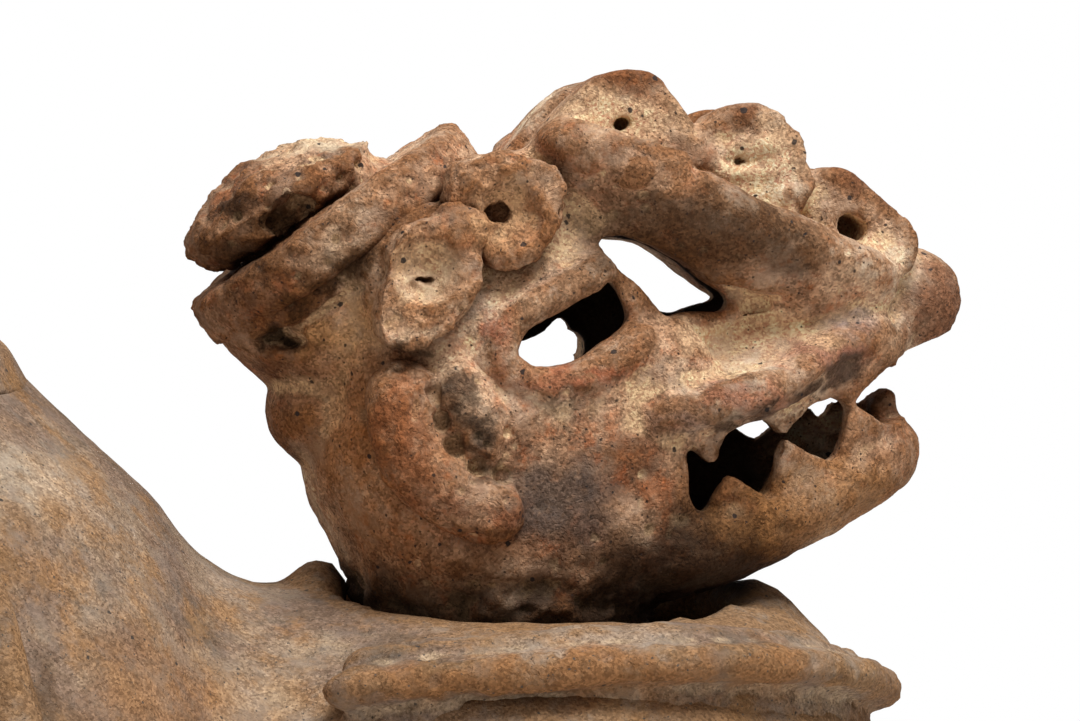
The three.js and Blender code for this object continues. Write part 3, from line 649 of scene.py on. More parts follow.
@dataclass(frozen=True)
class Earthenware:
    """Low-fired earthenware with sand temper, slipped, smoothed by hand and long buried.

    Matt and dry, with patches from the fire, slip left on what stands proud, sand in the hollows,
    dark grit and pores, and painted shade in narrow crevices and inside the hollow head. Sizes are in
    millimetres.

    Attributes:
        name: The material's name.
        shade: The clay's colours from dark to light.
        slip: Colour of the slip that is left on proud places.
        sand: Colour of the sand that fills hollows.
        grit: Size, colour and share of each temper.
        roughness: How dry it looks.
        carrier: What it dresses, which says where its patches lie.
        stains: Patches of pigment, smoke-black, mineral and painted shade over the clay.
        flecks: Noises that darken and lighten the clay, with greys either side of #BCBCBC.
        blooms: Scattered patches, each with its colour, size, the noise at which it starts and its strength.
        ior: How it bends light.
        shine: How much of its gloss is left on a dry, sandy skin.
        inner_shade: Colour of the painted shade on the inside of the hollow head.
        dirt: Colour of the painted shade that darkens narrow crevices.
        unshaded: What leaves open skin as it is, with no painted shade.
        noises: Name, size, detail and roughness of each noise.
        noise_span: The stretch of a noise that is spread from none to all.
        shade_stops: Where each shade stands along the noise of the patches.
        grain: Size of one sand grain, drawn coarse enough to show.
        bloom_noise: Detail and roughness of the blooms' noise.
        bloom_edge: How much noise lies between a bloom's edge and its full strength.
        left: The least of the slip that is left, and the noise at which all of it is.
        slip_relief: The relief at which slip starts, and at which it is full.
        sand_relief: The relief at which sand starts, and at which it is full.
        relief_most: How much of the clay full slip or sand hides.
        drift: Size and detail of the noise that the patches and pores wander by, and how far they go.
        hold_full: The mottle above which a patch is whole.
        fraying: Size and detail of the noise that frays the grit, and how far it goes.
        grit_girth: Radius of the largest grit, as a share of its size.
        grit_edge: How soft its edge is, as the same share.
        grit_most: How much of the clay it hides.
        crevice: How wide a crevice may be and still be darkened by painted shade.
        crevice_open: The open sky at which the painted shade is darkest, and at which there is none.
        crevice_samples: How many looks at the sky each place takes.
        pore: Distance between pores.
        pore_wall: Where a pore's wall starts and ends, as shares of that distance.
        pore_depth: How deep it is, as a share of the bump.
        bumps: How much of the bump each noise gives.
        bump: How high the bump is, and how strong.
    """

    name: str
    shade: tuple[str, str, str, str]
    slip: str
    sand: str
    grit: tuple[tuple[float, str, float], ...]
    roughness: float
    carrier: Carrier
    stains: tuple[StainOrShade, ...] = ()
    flecks: tuple[tuple[str, str, str], ...] = (
        ("mottle", "#B0ACA9", "#C8C5C2"),
        ("crust", "#AEAAA6", "#CAC7C4"),
        ("grain", "#928E89", "#DEDAD4"),
    )
    blooms: tuple[tuple[str, float, float, float], ...] = ()
    ior: float = 1.45
    shine: float = 0.1
    # Painted shade on the inside of the hollow head
    inner_shade: str = "#241A14"
    # Painted shade in narrow crevices, from its darkest colour to none on open skin
    dirt: str = "#8A7666"
    clean: str = "#FFFFFF"
    noises: tuple[tuple[str, float, float, float], ...] = (
        ("patches", 34, 5.0, 0.6),
        ("slip_left", 11, 6.0, 0.7),
        ("mottle", 5, 6.0, 0.72),
        ("crust", 2.6, 5.0, 0.7),
    )
    noise_span: Pair = (0.3, 0.7)
    shade_stops: tuple[float, float, float, float] = (0.0, 0.35, 0.68, 1.0)
    grain: float = 0.6
    bloom_noise: Pair = (8.0, 0.7)
    bloom_edge: float = 0.14
    left: Pair = (0.3, 0.6)
    slip_relief: Pair = (0.1, 0.8)
    sand_relief: Pair = (-0.05, -0.6)
    relief_most: float = 0.75
    drift: Triple = (10, 8.0, 20)
    hold_full: float = 0.5
    fraying: Triple = (1.3, 2.0, 1.1)
    grit_girth: float = 0.3
    grit_edge: float = 0.06
    grit_most: float = 0.9
    crevice: float = 6
    crevice_open: Pair = (0.2, 0.75)
    crevice_samples: int = 6
    pore: float = 1.9
    pore_wall: Pair = (0.05, 0.4)
    pore_depth: float = 0.5
    bumps: tuple[tuple[str, float], ...] = (("mottle", 0.4), ("crust", 0.5), ("grain", 0.3))
    bump: Pair = (0.6, 0.9)

    def spread_noises(
        self, tree: bpy.types.NodeTree, place: bpy.types.NodeSocket
    ) -> dict[str, bpy.types.Node]:
        """Adds the noises that several layers read.

        Args:
            tree: The node tree.
            place: Where on the piece.

        Returns:
            Each noise by name, with the slip that is left and the sand grains.
        """
        low, high = self.noise_span
        spread = {}
        for name, size, detail, rough in self.noises:
            inputs = {"Vector": place, "Scale": 1 / (size * MM), "Detail": detail, "Roughness": rough}
            waves = add_node(tree, "ShaderNodeTexNoise", {}, inputs)
            inputs = {"Value": waves, "From Min": low, "From Max": high}
            spread[name] = add_node(tree, "ShaderNodeMapRange", EASE, inputs)
        least, full = self.left
        inputs = {"Value": spread["slip_left"], "From Max": full, "To Min": least}
        spread["left"] = add_node(tree, "ShaderNodeMapRange", EASE, inputs)
        inputs = {"Vector": place, "Scale": 1 / (self.grain * MM)}
        sand = add_node(tree, "ShaderNodeTexVoronoi", {}, inputs)
        spread["grain"] = add_node(tree, "ShaderNodeSeparateColor", {}, {0: sand.outputs["Color"]})
        return spread

    @staticmethod
    def swayed(tree: bpy.types.NodeTree, place: bpy.types.NodeSocket, sway: Triple) -> bpy.types.Node:
        """Makes places wander.

        Args:
            tree: The node tree.
            place: Where on the piece.
            sway: Size and detail of the noise they follow, and how far they go.

        Returns:
            The places they wander to.
        """
        size, detail, reach = sway
        inputs = {"Vector": place, "Scale": 1 / (size * MM), "Detail": detail}
        waves = add_node(tree, "ShaderNodeTexNoise", {}, inputs)
        inputs = {0: waves.outputs["Color"], 1: (reach * MM,) * 3, 2: place}
        return add_node(tree, "ShaderNodeVectorMath", TIMES_PLUS, inputs)

    def fired(
        self, tree: bpy.types.NodeTree, place: bpy.types.NodeSocket, spread: dict[str, bpy.types.Node]
    ) -> bpy.types.Node:
        """Shades the clay in patches, with rust, ash and lime in ragged blooms over them.

        Args:
            tree: The node tree.
            place: Where on the piece.
            spread: The noises by name.

        Returns:
            The clay's colour.
        """
        clay = add_node(tree, "ShaderNodeValToRGB", {}, {"Fac": spread["patches"]})
        stops = clay.color_ramp.elements
        halfway = 0.5
        for _ in self.shade[2:]:
            stops.new(halfway)
        for stop, at, colour in zip(stops, self.shade_stops, self.shade):
            stop.position = at
            stop.color = linear(colour)
        detail, rough = self.bloom_noise
        for colour, size, start, most in self.blooms:
            inputs = {"Vector": place, "Scale": 1 / (size * MM), "Detail": detail, "Roughness": rough}
            waves = add_node(tree, "ShaderNodeTexNoise", {}, inputs)
            inputs = {"Value": waves, "From Min": start, "From Max": start + self.bloom_edge, "To Max": most}
            share = add_node(tree, "ShaderNodeMapRange", EASE, inputs)
            clay = add_node(tree, "ShaderNodeMix", TINT, {FACTOR: share, UNDER: clay, OVER: linear(colour)})
        return clay

    def worn(
        self, tree: bpy.types.NodeTree, clay: bpy.types.Node, spread: dict[str, bpy.types.Node]
    ) -> bpy.types.Node:
        """Leaves slip on what stands proud and sand in what lies deep, by the relief in millimetres.

        Args:
            tree: The node tree.
            clay: The clay's colour.
            spread: The noises by name.

        Returns:
            The clay's new colour.
        """
        relief = add_node(tree, "ShaderNodeAttribute", {"attribute_name": "relief"}, {}).outputs["Fac"]
        for colour, (start, full) in ((self.slip, self.slip_relief), (self.sand, self.sand_relief)):
            inputs = {"Value": relief, "From Min": start, "From Max": full, "To Max": self.relief_most}
            share = add_node(tree, "ShaderNodeMapRange", EASE, inputs)
            share = add_node(tree, "ShaderNodeMath", TIMES, {0: share, 1: spread["left"]})
            clay = add_node(tree, "ShaderNodeMix", TINT, {FACTOR: share, UNDER: clay, OVER: linear(colour)})
        return clay

    def stained(
        self,
        tree: bpy.types.NodeTree,
        clay: bpy.types.Node,
        adrift: bpy.types.Node,
        spread: dict[str, bpy.types.Node],
    ) -> bpy.types.Node:
        """Lays the patches of pigment, mineral and painted shade, which fade out unevenly at their edges.

        Args:
            tree: The node tree.
            clay: The clay's colour.
            adrift: Places that wander.
            spread: The noises by name.

        Returns:
            The clay's new colour.
        """
        shift = HEAD_PLACE if self.carrier is Carrier.HEAD else NOWHERE
        for stain_or_shade in self.stains:
            middle = (Vector(stain_or_shade.place) + shift + Vector((self.drift[2] / 2,) * 3)) * MM
            away = add_node(tree, "ShaderNodeVectorMath", LESS, {0: adrift, 1: middle})
            reach = [r * MM for r in stain_or_shade.reach]
            away = add_node(tree, "ShaderNodeVectorMath", {"operation": "DIVIDE"}, {0: away, 1: reach})
            away = add_node(tree, "ShaderNodeVectorMath", {"operation": "LENGTH"}, {0: away})
            inputs = {"Value": away, "From Min": 1.0, "From Max": stain_or_shade.core, "To Max": stain_or_shade.strength}
            share = add_node(tree, "ShaderNodeMapRange", EASE, inputs)
            inputs = {"Value": spread["mottle"], "From Max": self.hold_full, "To Min": stain_or_shade.hold}
            holes = add_node(tree, "ShaderNodeMapRange", EASE, inputs)
            share = add_node(tree, "ShaderNodeMath", TIMES, {0: share, 1: holes})
            inputs = {FACTOR: share, UNDER: clay, OVER: linear(stain_or_shade.colour)}
            clay = add_node(tree, "ShaderNodeMix", TINT, inputs)
        return clay

    def flecked(
        self, tree: bpy.types.NodeTree, clay: bpy.types.Node, spread: dict[str, bpy.types.Node]
    ) -> bpy.types.Node:
        """Darkens and lightens the clay about its own colour by mottle, crust and sand grains.

        Args:
            tree: The node tree.
            clay: The clay's colour.
            spread: The noises by name.

        Returns:
            The clay's new colour.
        """
        for name, dark, light in self.flecks:
            inputs = {FACTOR: spread[name], UNDER: linear(dark), OVER: linear(light)}
            shade = add_node(tree, "ShaderNodeMix", TINT, inputs)
            clay = add_node(tree, "ShaderNodeMix", FLECK, {FACTOR: spread["left"], UNDER: clay, OVER: shade})
        return clay

    def tempered(
        self, tree: bpy.types.NodeTree, clay: bpy.types.Node, place: bpy.types.NodeSocket
    ) -> bpy.types.Node:
        """Adds the temper: ragged grit of a few sizes, each in some cells only.

        Args:
            tree: The node tree.
            clay: The clay's colour.
            place: Where on the piece.

        Returns:
            The clay's new colour.
        """
        frayed = self.swayed(tree, place, self.fraying)
        for size, colour, held in self.grit:
            inputs = {"Vector": frayed, "Scale": 1 / (size * MM)}
            grains = add_node(tree, "ShaderNodeTexVoronoi", {}, inputs)
            chosen = add_node(tree, "ShaderNodeSeparateColor", {}, {0: grains.outputs["Color"]})
            inputs = {"Value": chosen, "From Min": 1 - held, "To Max": self.grit_girth}
            girth = add_node(tree, "ShaderNodeMapRange", {}, inputs)
            inside = add_node(tree, "ShaderNodeMath", LESS, {0: girth, 1: grains})
            inputs = {"Value": inside, "From Max": self.grit_edge, "To Max": self.grit_most}
            spot = add_node(tree, "ShaderNodeMapRange", EASE, inputs)
            clay = add_node(tree, "ShaderNodeMix", TINT, {FACTOR: spot, UNDER: clay, OVER: linear(colour)})
        return clay

    def shade_painted(self, tree: bpy.types.NodeTree, clay: bpy.types.Node) -> bpy.types.Node:
        """Paints shade on the inside of the hollow head and in narrow crevices.

        Args:
            tree: The node tree.
            clay: The clay's colour.

        Returns:
            The clay's new colour.
        """
        # Painted shade on the inside of the hollow head, as strong as each point's share
        inner_shade = add_node(tree, "ShaderNodeAttribute", {"attribute_name": "inner_shade"}, {}).outputs["Fac"]
        clay = add_node(tree, "ShaderNodeMix", TINT, {FACTOR: inner_shade, UNDER: clay, OVER: linear(self.inner_shade)})
        # Painted shade in narrow crevices: darkest where little sky is open, none on open skin
        samples = {"samples": self.crevice_samples}
        sky = add_node(tree, "ShaderNodeAmbientOcclusion", samples, {"Distance": self.crevice * MM})
        shut, wide = self.crevice_open
        inputs = {"Value": sky.outputs["AO"], "From Min": shut, "From Max": wide}
        open_share = add_node(tree, "ShaderNodeMapRange", EASE, inputs)
        inputs = {FACTOR: open_share, UNDER: linear(self.dirt), OVER: linear(self.clean)}
        dirt = add_node(tree, "ShaderNodeMix", TINT, inputs)
        return add_node(tree, "ShaderNodeMix", DARKEN, {FACTOR: 1.0, UNDER: clay, OVER: dirt})

    def pored(
        self, tree: bpy.types.NodeTree, adrift: bpy.types.Node, spread: dict[str, bpy.types.Node]
    ) -> bpy.types.Node:
        """Gives pores, crust and grains for the light to catch.

        Args:
            tree: The node tree.
            adrift: Places that wander.
            spread: The noises by name.

        Returns:
            The bump.
        """
        inputs = {"Vector": adrift, "Scale": 1 / (self.pore * MM)}
        pores = add_node(tree, "ShaderNodeTexVoronoi", {}, inputs)
        start, end = self.pore_wall
        inputs = {"Value": pores, "From Min": start, "From Max": end, "To Max": self.pore_depth}
        height = add_node(tree, "ShaderNodeMapRange", EASE, inputs)
        for name, share in self.bumps:
            inputs = {0: spread[name], 1: share, 2: height}
            height = add_node(tree, "ShaderNodeMath", TIMES_PLUS, inputs)
        high, strength = self.bump
        inputs = {"Height": height, "Distance": high * MM, "Strength": strength}
        return add_node(tree, "ShaderNodeBump", {}, inputs)

    def build(self) -> bpy.types.Material:
        """Builds the material, layer by layer.

        Returns:
            The material.
        """
        material = bpy.data.materials.new(self.name)
        material.use_nodes = True
        tree = material.node_tree
        tree.nodes.clear()
        place = add_node(tree, "ShaderNodeTexCoord", {}, {}).outputs["Object"]
        spread = self.spread_noises(tree, place)
        adrift = self.swayed(tree, place, self.drift)
        clay = self.fired(tree, place, spread)
        clay = self.worn(tree, clay, spread)
        clay = self.stained(tree, clay, adrift, spread)
        clay = self.flecked(tree, clay, spread)
        clay = self.tempered(tree, clay, place)
        clay = self.shade_painted(tree, clay)
        inputs = {
            "Base Color": clay,
            "Roughness": self.roughness,
            "IOR": self.ior,
            "Specular IOR Level": self.shine,
            "Normal": self.pored(tree, adrift, spread),
        }
        shader = add_node(tree, "ShaderNodeBsdfPrincipled", {}, inputs)
        add_node(tree, "ShaderNodeOutputMaterial", {}, {"Surface": shader})
        return material


JAR_CLAY = Earthenware(
    name="smoothed_earthenware",
    shade=("#6C5D4F", "#837266", "#928272", "#9E9083"),
    slip="#8A6E50",
    sand="#AC9C87",
    grit=((2.6, "#3E3A37", 0.07), (1.2, "#524B45", 0.5)),
    roughness=0.86,
    carrier=Carrier.URN,
    blooms=(("#6C655E", 9, 0.52, 0.6), ("#9A7448", 24, 0.5, 0.55)),
    flecks=(
        ("mottle", "#B4B0AC", "#C4C2C0"),
        ("crust", "#AEAAA6", "#C8C6C4"),
        ("grain", "#9A9692", "#D8D6D2"),
    ),
    stains=(
        StainOrShade("#926A46", (172, -74, 188), (20, 18, 8), 0.6, 0.2, 0.3),
        StainOrShade("#8E6846", (125, -90, 188), (80, 16, 9), 0.8, 0.5, 0.6),
        StainOrShade("#8A6A4E", (205, -25, 176), (24, 34, 14), 0.6),
        StainOrShade("#93867C", (90, -70, 168), (50, 50, 20), 0.4),
        # Painted shade in the groove along the right flank strap's edge
        StainOrShade("#54412F", (2, -108, 188), (7, 14, 24), 0.65, 0.2, 0.5),
        StainOrShade("#C9BCA9", (-30, -70, 235), (60, 60, 14), 0.5),
        StainOrShade("#9A6F48", (40, -90, 185), (40, 40, 26), 0.35),
    ),
)

HEAD_CLAY = Earthenware(
    name="slipped_earthenware",
    shade=("#70523F", "#A68972", "#C4AA93", "#D8C6B0"),
    slip="#785436",
    sand="#D2BC9C",
    grit=((3.2, "#2C2A2B", 0.2), (1.3, "#3A2E28", 0.4)),
    roughness=0.82,
    carrier=Carrier.HEAD,
    blooms=(
        ("#A06038", 15, 0.51, 0.55),
        ("#74665C", 23, 0.52, 0.65),
        ("#5E4230", 7, 0.53, 0.55),
        ("#A85C2C", 6, 0.54, 0.45),
    ),
    stains=(
        StainOrShade("#986A40", (-45, -30, 40), (34, 40, 45), 0.65, 0.1, 0.5),
        # Painted shade: the foot of the neck down in the socket, and the throat under the jaw
        StainOrShade("#1F1309", (-7, 0, 0), (66, 60, 20), 0.95, 0.5, 0.9),
        StainOrShade("#22140A", (34, -20, 9), (48, 46, 23), 0.9, 0.5, 0.9),
        # Painted shade over the brim
        StainOrShade("#563718", (-50, 0, 88), (46, 50, 20), 0.75, 0.4, 0.65),
        # Painted shade on the lower face of the brow ridge, which faces down
        StainOrShade("#48311E", (34, -40, 90), (46, 16, 15), 0.85, 0.45, 0.8),
        StainOrShade("#DDC4A6", (48, -30, 66), (32, 14, 8), 0.75, 0.4, 0.7),
        StainOrShade("#E2CBAE", (18, -28, 119), (22, 20, 10), 0.7, 0.3, 0.5),
        StainOrShade("#E2CBAE", (52, -24, 110), (17, 20, 10), 0.7, 0.3, 0.5),
        StainOrShade("#744A30", (18, -22, 131), (24, 26, 6), 0.65, 0.3, 0.4),
        StainOrShade("#6A4634", (55, -20, 123), (15, 24, 6), 0.65, 0.3, 0.5),
        StainOrShade("#5E4234", (83, -14, 105), (16, 22, 7), 0.7, 0.3, 0.5),
        StainOrShade("#8A6240", (-33, -46, 79), (16, 14, 18), 0.65, 0.5, 0.3),
        StainOrShade("#8E6542", (-13, -44, 96), (19, 14, 17), 0.65, 0.5, 0.3),
        StainOrShade("#DCC5A6", (-33, -46, 81.5), (9.5, 12, 8), 0.85, 0.3, 0.6),
        StainOrShade("#C9AC8A", (-13, -44, 95), (9, 12, 9), 0.75, 0.3, 0.5),
        StainOrShade("#7E4E32", (-37, -43, 44), (9, 16, 22), 0.7, 0.4, 0.5),
        StainOrShade("#764A32", (-28, -44, 29), (11, 14, 8), 0.7, 0.4, 0.5),
        StainOrShade("#6A4432", (-15, -44, 23.5), (13, 14, 6), 0.7, 0.4, 0.5),
        # Painted shade in the hole at the nape, and in the crevice under the low ruff pad
        StainOrShade("#241809", (-64, -19, 64.9), (7.5, 8, 3.6), 0.95, 0.5, 0.9),
        StainOrShade("#2E1F14", (-36, -43, 63), (9, 8, 3.4), 0.85, 0.4, 0.7),
        StainOrShade("#BC986F", (-53, -28, 63), (10, 12, 8), 0.65, 0.3, 0.6),
        StainOrShade("#BC986F", (-45, -33, 70), (8, 12, 7), 0.65, 0.3, 0.6),
        # Painted shade along the underside of the brim, where it meets the nape
        StainOrShade("#46301C", (-62.5, -24, 72.5), (8, 12, 4.5), 0.8, 0.5, 0.7),
        StainOrShade("#46301C", (-54.5, -29, 78.5), (8, 12, 4.5), 0.8, 0.5, 0.7),
        StainOrShade("#46301C", (-47, -34, 84), (8, 12, 4.5), 0.8, 0.5, 0.7),
        StainOrShade("#725240", (103, -10, 73), (15, 22, 17), 0.88, 0.5, 0.75),
        # Painted shade on the lower left end of the crown, whose side is undercut
        StainOrShade("#3A2A1E", (-80, -22, 84), (18, 18, 9), 0.7, 0.4, 0.5),
        StainOrShade("#1E1712", (-77, -18, 98), (12, 10, 5), 0.7, 0.3, 0.4),
        # Painted shade in the hollow broken into the crown
        StainOrShade("#3A2412", (-62, -18, 94), (7, 9, 4.5), 0.8, 0.4, 0.7),
        StainOrShade("#D0BFA6", (-56, -8, 116), (26, 30, 8), 0.75, 0.4, 0.6),
        StainOrShade("#453A33", (-24.5, -44, 52.5), (6, 9, 8), 0.85, 0.3, 0.75),
        StainOrShade("#1C1714", (-21, -44, 44), (6.5, 9, 9.5), 0.9, 0.25, 0.75),
        StainOrShade("#241B16", (-17, -44, 36), (5.5, 9, 5.5), 0.75, 0.25, 0.7),
        StainOrShade("#554B47", (1, -40, 27), (17, 18, 15), 0.9, 0.4, 0.6),
        StainOrShade("#96503A", (4, -40, 56), (24, 14, 5), 0.5, 0.2, 0.1),
        StainOrShade("#96503A", (-14, -40, 66), (5, 10, 10), 0.5, 0.2, 0.1),
        StainOrShade("#966855", (46, -38, 51), (24, 12, 6), 0.7, 0.3, 0.3),
        StainOrShade("#8A6155", (68, -30, 61), (20, 12, 6), 0.7, 0.3, 0.3),
        StainOrShade("#857B7C", (76, -22, 68), (12, 10, 5), 0.75, 0.4, 0.5),
        # Painted shade under the upper lip, over the recessed gum
        StainOrShade("#4A3B32", (45, -38, 45), (9, 8, 3.6), 0.9, 0.5, 0.85),
        StainOrShade("#4A3B32", (55, -37, 48), (9, 8, 4), 0.9, 0.5, 0.85),
        StainOrShade("#4A3B32", (64, -34, 52.5), (9, 8, 4.4), 0.9, 0.5, 0.85),
        StainOrShade("#54443A", (72.5, -29, 58), (9, 8, 4.6), 0.9, 0.5, 0.85),
        StainOrShade("#857B7C", (30, -36, 46), (9, 10, 7), 0.6, 0.4, 0.4),
        StainOrShade("#8E6A45", (66, -20, 24), (44, 32, 16), 0.65, 0.4, 0.7),
    ),
)


@dataclass
class Studio:
    """A pale floor, soft light from above and the camera at the photograph's angle."""

    target: Triple = (129.5, 0, 260)
    azimuth: float = -10.0
    elevation: float = 0.7
    distance: float = 900.0
    lens: float = 120.0
    sensor: float = 36.0
    nearest: float = 10.0
    lamps: tuple[tuple[str, Triple, float, float], ...] = (
        ("key_softbox", (380, -480, 1280), 520, 20.0),
        ("fill_softbox", (-350, -1000, 620), 900, 1.6),
        ("back_softbox", (-700, 600, 1000), 800, 4.2),
    )
    sky: str = "#FFE6CE"
    sky_strength: float = 0.17
    backdrop: str = "#FFFFFF"
    floor_radius: float = 1500.0
    floor_sides: int = 96
    paper: str = "#F1F0EE"
    paper_roughness: float = 0.95

    def build(self) -> None:
        """Sets up the camera, the lamps, the world and the floor."""
        self.place_camera()
        for lamp in self.lamps:
            self.place_lamp(*lamp)
        self.light_world()
        self.lay_floor()
        bpy.context.scene.view_settings.view_transform = "Standard"

    def place_camera(self) -> None:
        """Puts the camera where the photograph was taken from."""
        turn, rise = math.radians(self.azimuth), math.radians(self.elevation)
        away = Vector((math.sin(turn) * math.cos(rise), -math.cos(turn) * math.cos(rise), math.sin(rise)))
        data = bpy.data.cameras.new("camera")
        data.lens = self.lens
        data.sensor_width = self.sensor
        data.clip_start = self.nearest * MM
        camera = bpy.data.objects.new("camera", data)
        camera.location = (Vector(self.target) + away * self.distance) * MM
        camera.rotation_euler = away.to_track_quat("Z", "Y").to_euler()
        bpy.context.scene.collection.objects.link(camera)
        bpy.context.scene.camera = camera

    def place_lamp(self, name: str, place: Triple, size: float, watts: float) -> None:
        """Adds a square softbox that faces the head.

        Args:
            name: The lamp's name.
            place: Where it hangs.
            size: Its side.
            watts: Its power.
        """
        data = bpy.data.lights.new(name, "AREA")
        data.size = size * MM
        data.energy = watts
        lamp = bpy.data.objects.new(name, data)
        lamp.location = Vector(place) * MM
        lamp.rotation_euler = (Vector(place) - Vector(self.target)).to_track_quat("Z", "Y").to_euler()
        bpy.context.scene.collection.objects.link(lamp)

    def light_world(self) -> None:
        """Lights from all round, and shows white behind the object."""
        world = bpy.data.worlds.new("studio")
        bpy.context.scene.world = world
        world.use_nodes = True
        tree = world.node_tree
        tree.nodes.clear()
        rays = add_node(tree, "ShaderNodeLightPath", {}, {}).outputs
        seen = rays["Is Camera Ray"]
        for kind in ("Is Glossy Ray", "Is Transmission Ray"):
            seen = add_node(tree, "ShaderNodeMath", {"operation": "MAXIMUM"}, {0: seen, 1: rays[kind]})
        inputs = {"Color": linear(self.sky), "Strength": self.sky_strength}
        sky = add_node(tree, "ShaderNodeBackground", {}, inputs)
        inputs = {"Color": linear(self.backdrop), "Strength": 1.0}
        white = add_node(tree, "ShaderNodeBackground", {}, inputs)
        both = add_node(tree, "ShaderNodeMixShader", {}, {0: seen, 1: sky.outputs[0], 2: white.outputs[0]})
        add_node(tree, "ShaderNodeOutputWorld", {}, {"Surface": both.outputs[0]})

    def lay_floor(self) -> None:
        """Lays a round pale floor under the base."""
        bm = bmesh.new()
        bmesh.ops.create_circle(bm, cap_ends=True, segments=self.floor_sides, radius=self.floor_radius * MM)
        mesh = bpy.data.meshes.new("studio_floor")
        bm.to_mesh(mesh)
        bm.free()
        # Matt paper, pale and without shine
        paper = bpy.data.materials.new("pale_paper")
        paper.use_nodes = True
        shader = paper.node_tree.nodes["Principled BSDF"]
        shader.inputs["Base Color"].default_value = linear(self.paper)
        shader.inputs["Roughness"].default_value = self.paper_roughness
        mesh.materials.append(paper)
        floor = bpy.data.objects.new("studio_floor", mesh)
        bpy.context.scene.collection.objects.link(floor)


def bend(points: Outline, steps: int) -> list[Pair]:
    """Gives a quadratic bend.

    Args:
        points: Its start, the point that pulls it, and its end.
        steps: How many points to give.

    Returns:
        Its points without the start.
    """
    (ax, ay), (bx, by), (cx, cy) = points
    shares = [(i + 1) / steps for i in range(steps)]
    return [
        (
            (1 - t) ** 2 * ax + 2 * t * (1 - t) * bx + t * t * cx,
            (1 - t) ** 2 * ay + 2 * t * (1 - t) * by + t * t * cy,
        )
        for t in shares
    ]


